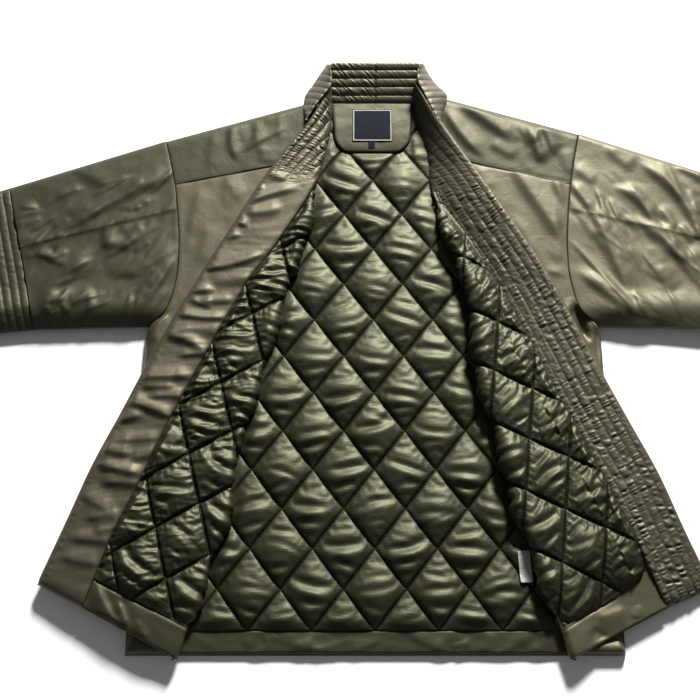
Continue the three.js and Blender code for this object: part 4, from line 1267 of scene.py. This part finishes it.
# ---------------------------------------------------------------- sleeves
class COAT_OT_sleeves(bpy.types.Operator):
    """Makes the sleeves and their cuffs, lying flat"""

    bl_idname = "coat.sleeves"
    bl_label = "Sleeves and cuffs"

    def execute(self, context):
        for side in SIDES:
            self.sleeve(side)
            self.cuff(side)
        return {"FINISHED"}

    def armhole(self, side):
        """Gives points down the armhole, by their share of the way. The seam along the sleeve meets it
        where the table has y at 176."""
        line = smooth_line(half_body(side)[3:11][::-1], 300)
        run = lengths(line)
        at = [0, run[np.argmin(np.abs(line[:, 1] - 176))], run[-1]]
        return lambda shares: stacked(*(
            np.interp(np.interp(shares, [0, SLEEVE_SEAM, 1], at), run, part) for part in line.T))

    def line(self, side, name):
        """Gives points on a line across the sleeve, by their share of the way down."""
        top, low = np.array(SLEEVE[name + "_top"], float), np.array(SLEEVE[name + "_bottom"], float)
        top[1] += 8 * (side == "right")
        return lambda shares: top + shares[:, None] * (low - top)

    def tube(self, side, name, start, end, shape, across, thick):
        """A flattened tube from one line across the sleeve to another. shape adds to its upper wall."""
        cuff = name.startswith("cuff")
        even = np.linspace(0, 1, 120)
        top = lerp(even, (1 - np.cos(np.pi * even)) / 2, 0.45)
        below = (1 - np.cos(np.pi * np.linspace(0, 1, 26))) / 2
        shares = np.concatenate([top, below[::-1][1:]])
        on_top = np.arange(len(shares)) < len(top)
        x, y = (part.T for part in patch_between(start(shares), end(shares), across))
        wide = np.hypot(x[:, 0] - x[:, len(top) - 1], y[:, 0] - y[:, len(top) - 1])[:, None]
        edge = np.minimum(shares, 1 - shares) * wide
        run = np.hypot(x - x[:1], y - y[:1])
        # The upper edge is round. The lower one stands up in a long swell that starts at the armhole.
        raised, swollen = (1 if cuff else ease(run / reach) for reach in (220, 50))
        rim = lerp(5, 11 + 8 * (side == "right") * raised, shares)
        to_low = (1 - shares) * wide
        slope = np.clip(to_low / 30, 0, 1)
        upper = rim + (Z_SLEEVE - rim) * np.minimum(roll(shares * wide, 14, 1), slope * (2 - slope))
        upper += 5.0 * np.exp(-((to_low - 30) / 20) ** 2) * shares * swollen
        x = x * SIDES[side]
        z = np.where(on_top, upper + shape(x, y, run, edge, shares), rim - roll(edge, 10, 1) * rim)
        seam = (shares - SLEEVE_SEAM) * wide + np.where(on_top, 0, NO_SEAM)
        x, y, z, run, seam = (np.concatenate([part, part[:, :1]], axis=1)
                              for part in (x, y, np.maximum(z, 0), run, seam))
        around = np.concatenate([[0], np.cumsum(np.abs(np.diff(np.append(shares, 0))))]) * wide
        seams = (to_row_line(run), NO_SEAM) if cuff else (seam, run)
        piece = lay_cloth(name, (x, y, z), cloth=(run, around), seams=seams)
        join_tube(piece, closed=False)
        # The faces of the upper wall, above 14 mm, look up.
        if sum(face.normal.z for face in piece.data.polygons if face.center.z > 0.014) < 0:
            piece.data.flip_normals()
        return thicken(piece, thick)

    def sleeve(self, side):
        def shape(x, y, run, edge, shares):
            seam = (shares - SLEEVE_SEAM) * SLEEVE_WIDE
            step = 1.3 * ease(0.5 - seam / 2.6) * np.exp(-(seam / 14) ** 2) + sewn_line(run)
            bumps = 0.8 * ripple(x / 60, y / 45, 121) + 0.3 * ripple(x / 24, y / 18, 122)
            pulled = 0.9 * ripple((x * SIDES[side] + 0.5 * y) / 9, seam / 26, 123)
            bumps += 1.5 * pulled * np.exp(-(seam / 11) ** 2) * ease(np.abs(seam) / 2)
            strong, sharp = (1.15, 1.5) if side == "left" else (1.1, 0.9)
            bumps += strong * creases(x, y, SLEEVE_FOLDS[side])
            bumps += creases(x, y, strewn(124, 30, *STREWN["sleeve"][side], 60, 0.9, 5))
            bumps += creases(x, y, strewn(125, 60, *STREWN["sleeve"][side], 50, sharp, 2.6))
            # The folds are softer where the lower edge stands up.
            bumps *= lerp(0.5, 1, ease(((1 - shares) * SLEEVE_WIDE - 14) / 32))
            return step + ease(edge / 12) * bumps * sizes().crumple

        start, end = self.armhole(side), self.line(side, "cuff")
        piece = self.tube(side, f"sleeve_{side}", start, end, shape, 120, 1.4)
        # The left sleeve, further from the lamp, gets the darker copy of the shell taffeta as painted
        # shade.
        sew_in(piece, shell_cloth() if side == "right" else shell_painted_shade_cloth(), "shell_taffeta",
               f"sleeve_upper_{side}", f"sleeve_lower_{side}", f"sleeve_under_{side}")

    def cuff(self, side):
        def shape(x, y, run, edge, shares):
            rows = puckered_rows(run, shares * SLEEVE_WIDE, 131, 0.7, 14.0, 1.3)
            return (rows - 1.8) * ease((edge + 3) / 8)

        start, end = self.line(side, "cuff"), self.line(side, "end")
        piece = self.tube(side, f"cuff_{side}", start, end, shape, 110, 3.0)
        # The cuffs get the darker copy of the shell taffeta: painted shade.
        sew_in(piece, shell_painted_shade_cloth(), "band_taffeta", f"cuff_upper_{side}", f"cuff_under_{side}")


# ---------------------------------------------------------------- stage
class COAT_OT_stage(bpy.types.Operator):
    """Sets the floor, the lights and the camera"""

    bl_idname = "coat.stage"
    bl_label = "Floor, lights and camera"

    def execute(self, context):
        bpy.ops.object.select_all(action="DESELECT")
        bpy.ops.mesh.primitive_plane_add(size=12, location=(0, 0, 0))
        floor = context.object
        floor.name = "floor"
        floor.data.materials.append(make_finish("Paper floor, matt", lambda add: {
            "Base Color": (*colours().floor, 1), "Roughness": 0.9, "Specular IOR Level": 0.1}))

        # A soft lamp, half a metre square, stands beyond the neck. The rest of the studio is dim.
        lamp = bpy.data.objects.new("key_light", bpy.data.lights.new("key_light", "AREA"))
        lamp.data.size, lamp.data.energy = 0.5, 252
        lamp.location = (0.60, 2.233, 1.39)
        lamp.rotation_euler = (-lamp.location).to_track_quat("-Z", "Y").to_euler()
        context.scene.collection.objects.link(lamp)
        world = bpy.data.worlds.new("studio")
        world.use_nodes = True
        light = world.node_tree.nodes["Background"].inputs
        light["Color"].default_value, light["Strength"].default_value = (0.98, 1, 1.02, 1), 0.155
        context.scene.world = world
        context.scene.view_settings.view_transform = "Standard"

        # The camera stands beyond the hem and looks down at the coat at 72 degrees.
        slope = math.radians(72)
        camera = bpy.data.objects.new("camera", bpy.data.cameras.new("camera"))
        looks_at, away = Vector((-0.030, -0.005, 0)), 1.65
        camera.location = looks_at + away * Vector((0, -math.cos(slope), math.sin(slope)))
        camera.rotation_euler = (math.pi / 2 - slope, 0, 0)
        camera.data.lens = 66.3
        context.scene.collection.objects.link(camera)
        context.scene.camera = camera
        return {"FINISHED"}


STEPS = (COAT_OT_back, COAT_OT_back_lining, COAT_OT_labels, COAT_OT_fronts, COAT_OT_turned_fronts,
         COAT_OT_bands, COAT_OT_collar, COAT_OT_sleeves, COAT_OT_stage)


class COAT_PT_steps(bpy.types.Panel):
    """Lists the coat's sizes, colours and steps"""

    bl_idname = "COAT_PT_steps"
    bl_label = "Padded coat"
    bl_space_type = "VIEW_3D"
    bl_region_type = "UI"
    bl_category = "Padded coat"

    def draw(self, context):
        for group in (context.scene.coat_sizes, context.scene.coat_colours):
            for key in group.bl_rna.properties.keys():
                if key not in {"rna_type", "name"}:
                    self.layout.prop(group, key)
        for step in STEPS:
            self.layout.operator(step.bl_idname)


CLASSES = (CoatSizes, CoatColours, *STEPS, COAT_PT_steps)


def register():
    for kind in CLASSES:
        bpy.utils.register_class(kind)
    bpy.types.Scene.coat_sizes = bpy.props.PointerProperty(type=CoatSizes)
    bpy.types.Scene.coat_colours = bpy.props.PointerProperty(type=CoatColours)


def unregister():
    del bpy.types.Scene.coat_colours
    del bpy.types.Scene.coat_sizes
    for kind in reversed(CLASSES):
        bpy.utils.unregister_class(kind)


def main():
    register()
    for step in STEPS:
        group, name = step.bl_idname.split(".")
        if getattr(getattr(bpy.ops, group), name)() != {"FINISHED"}:
            raise RuntimeError(f"{step.bl_label}: not finished")


if __name__ == "__main__":
    main()
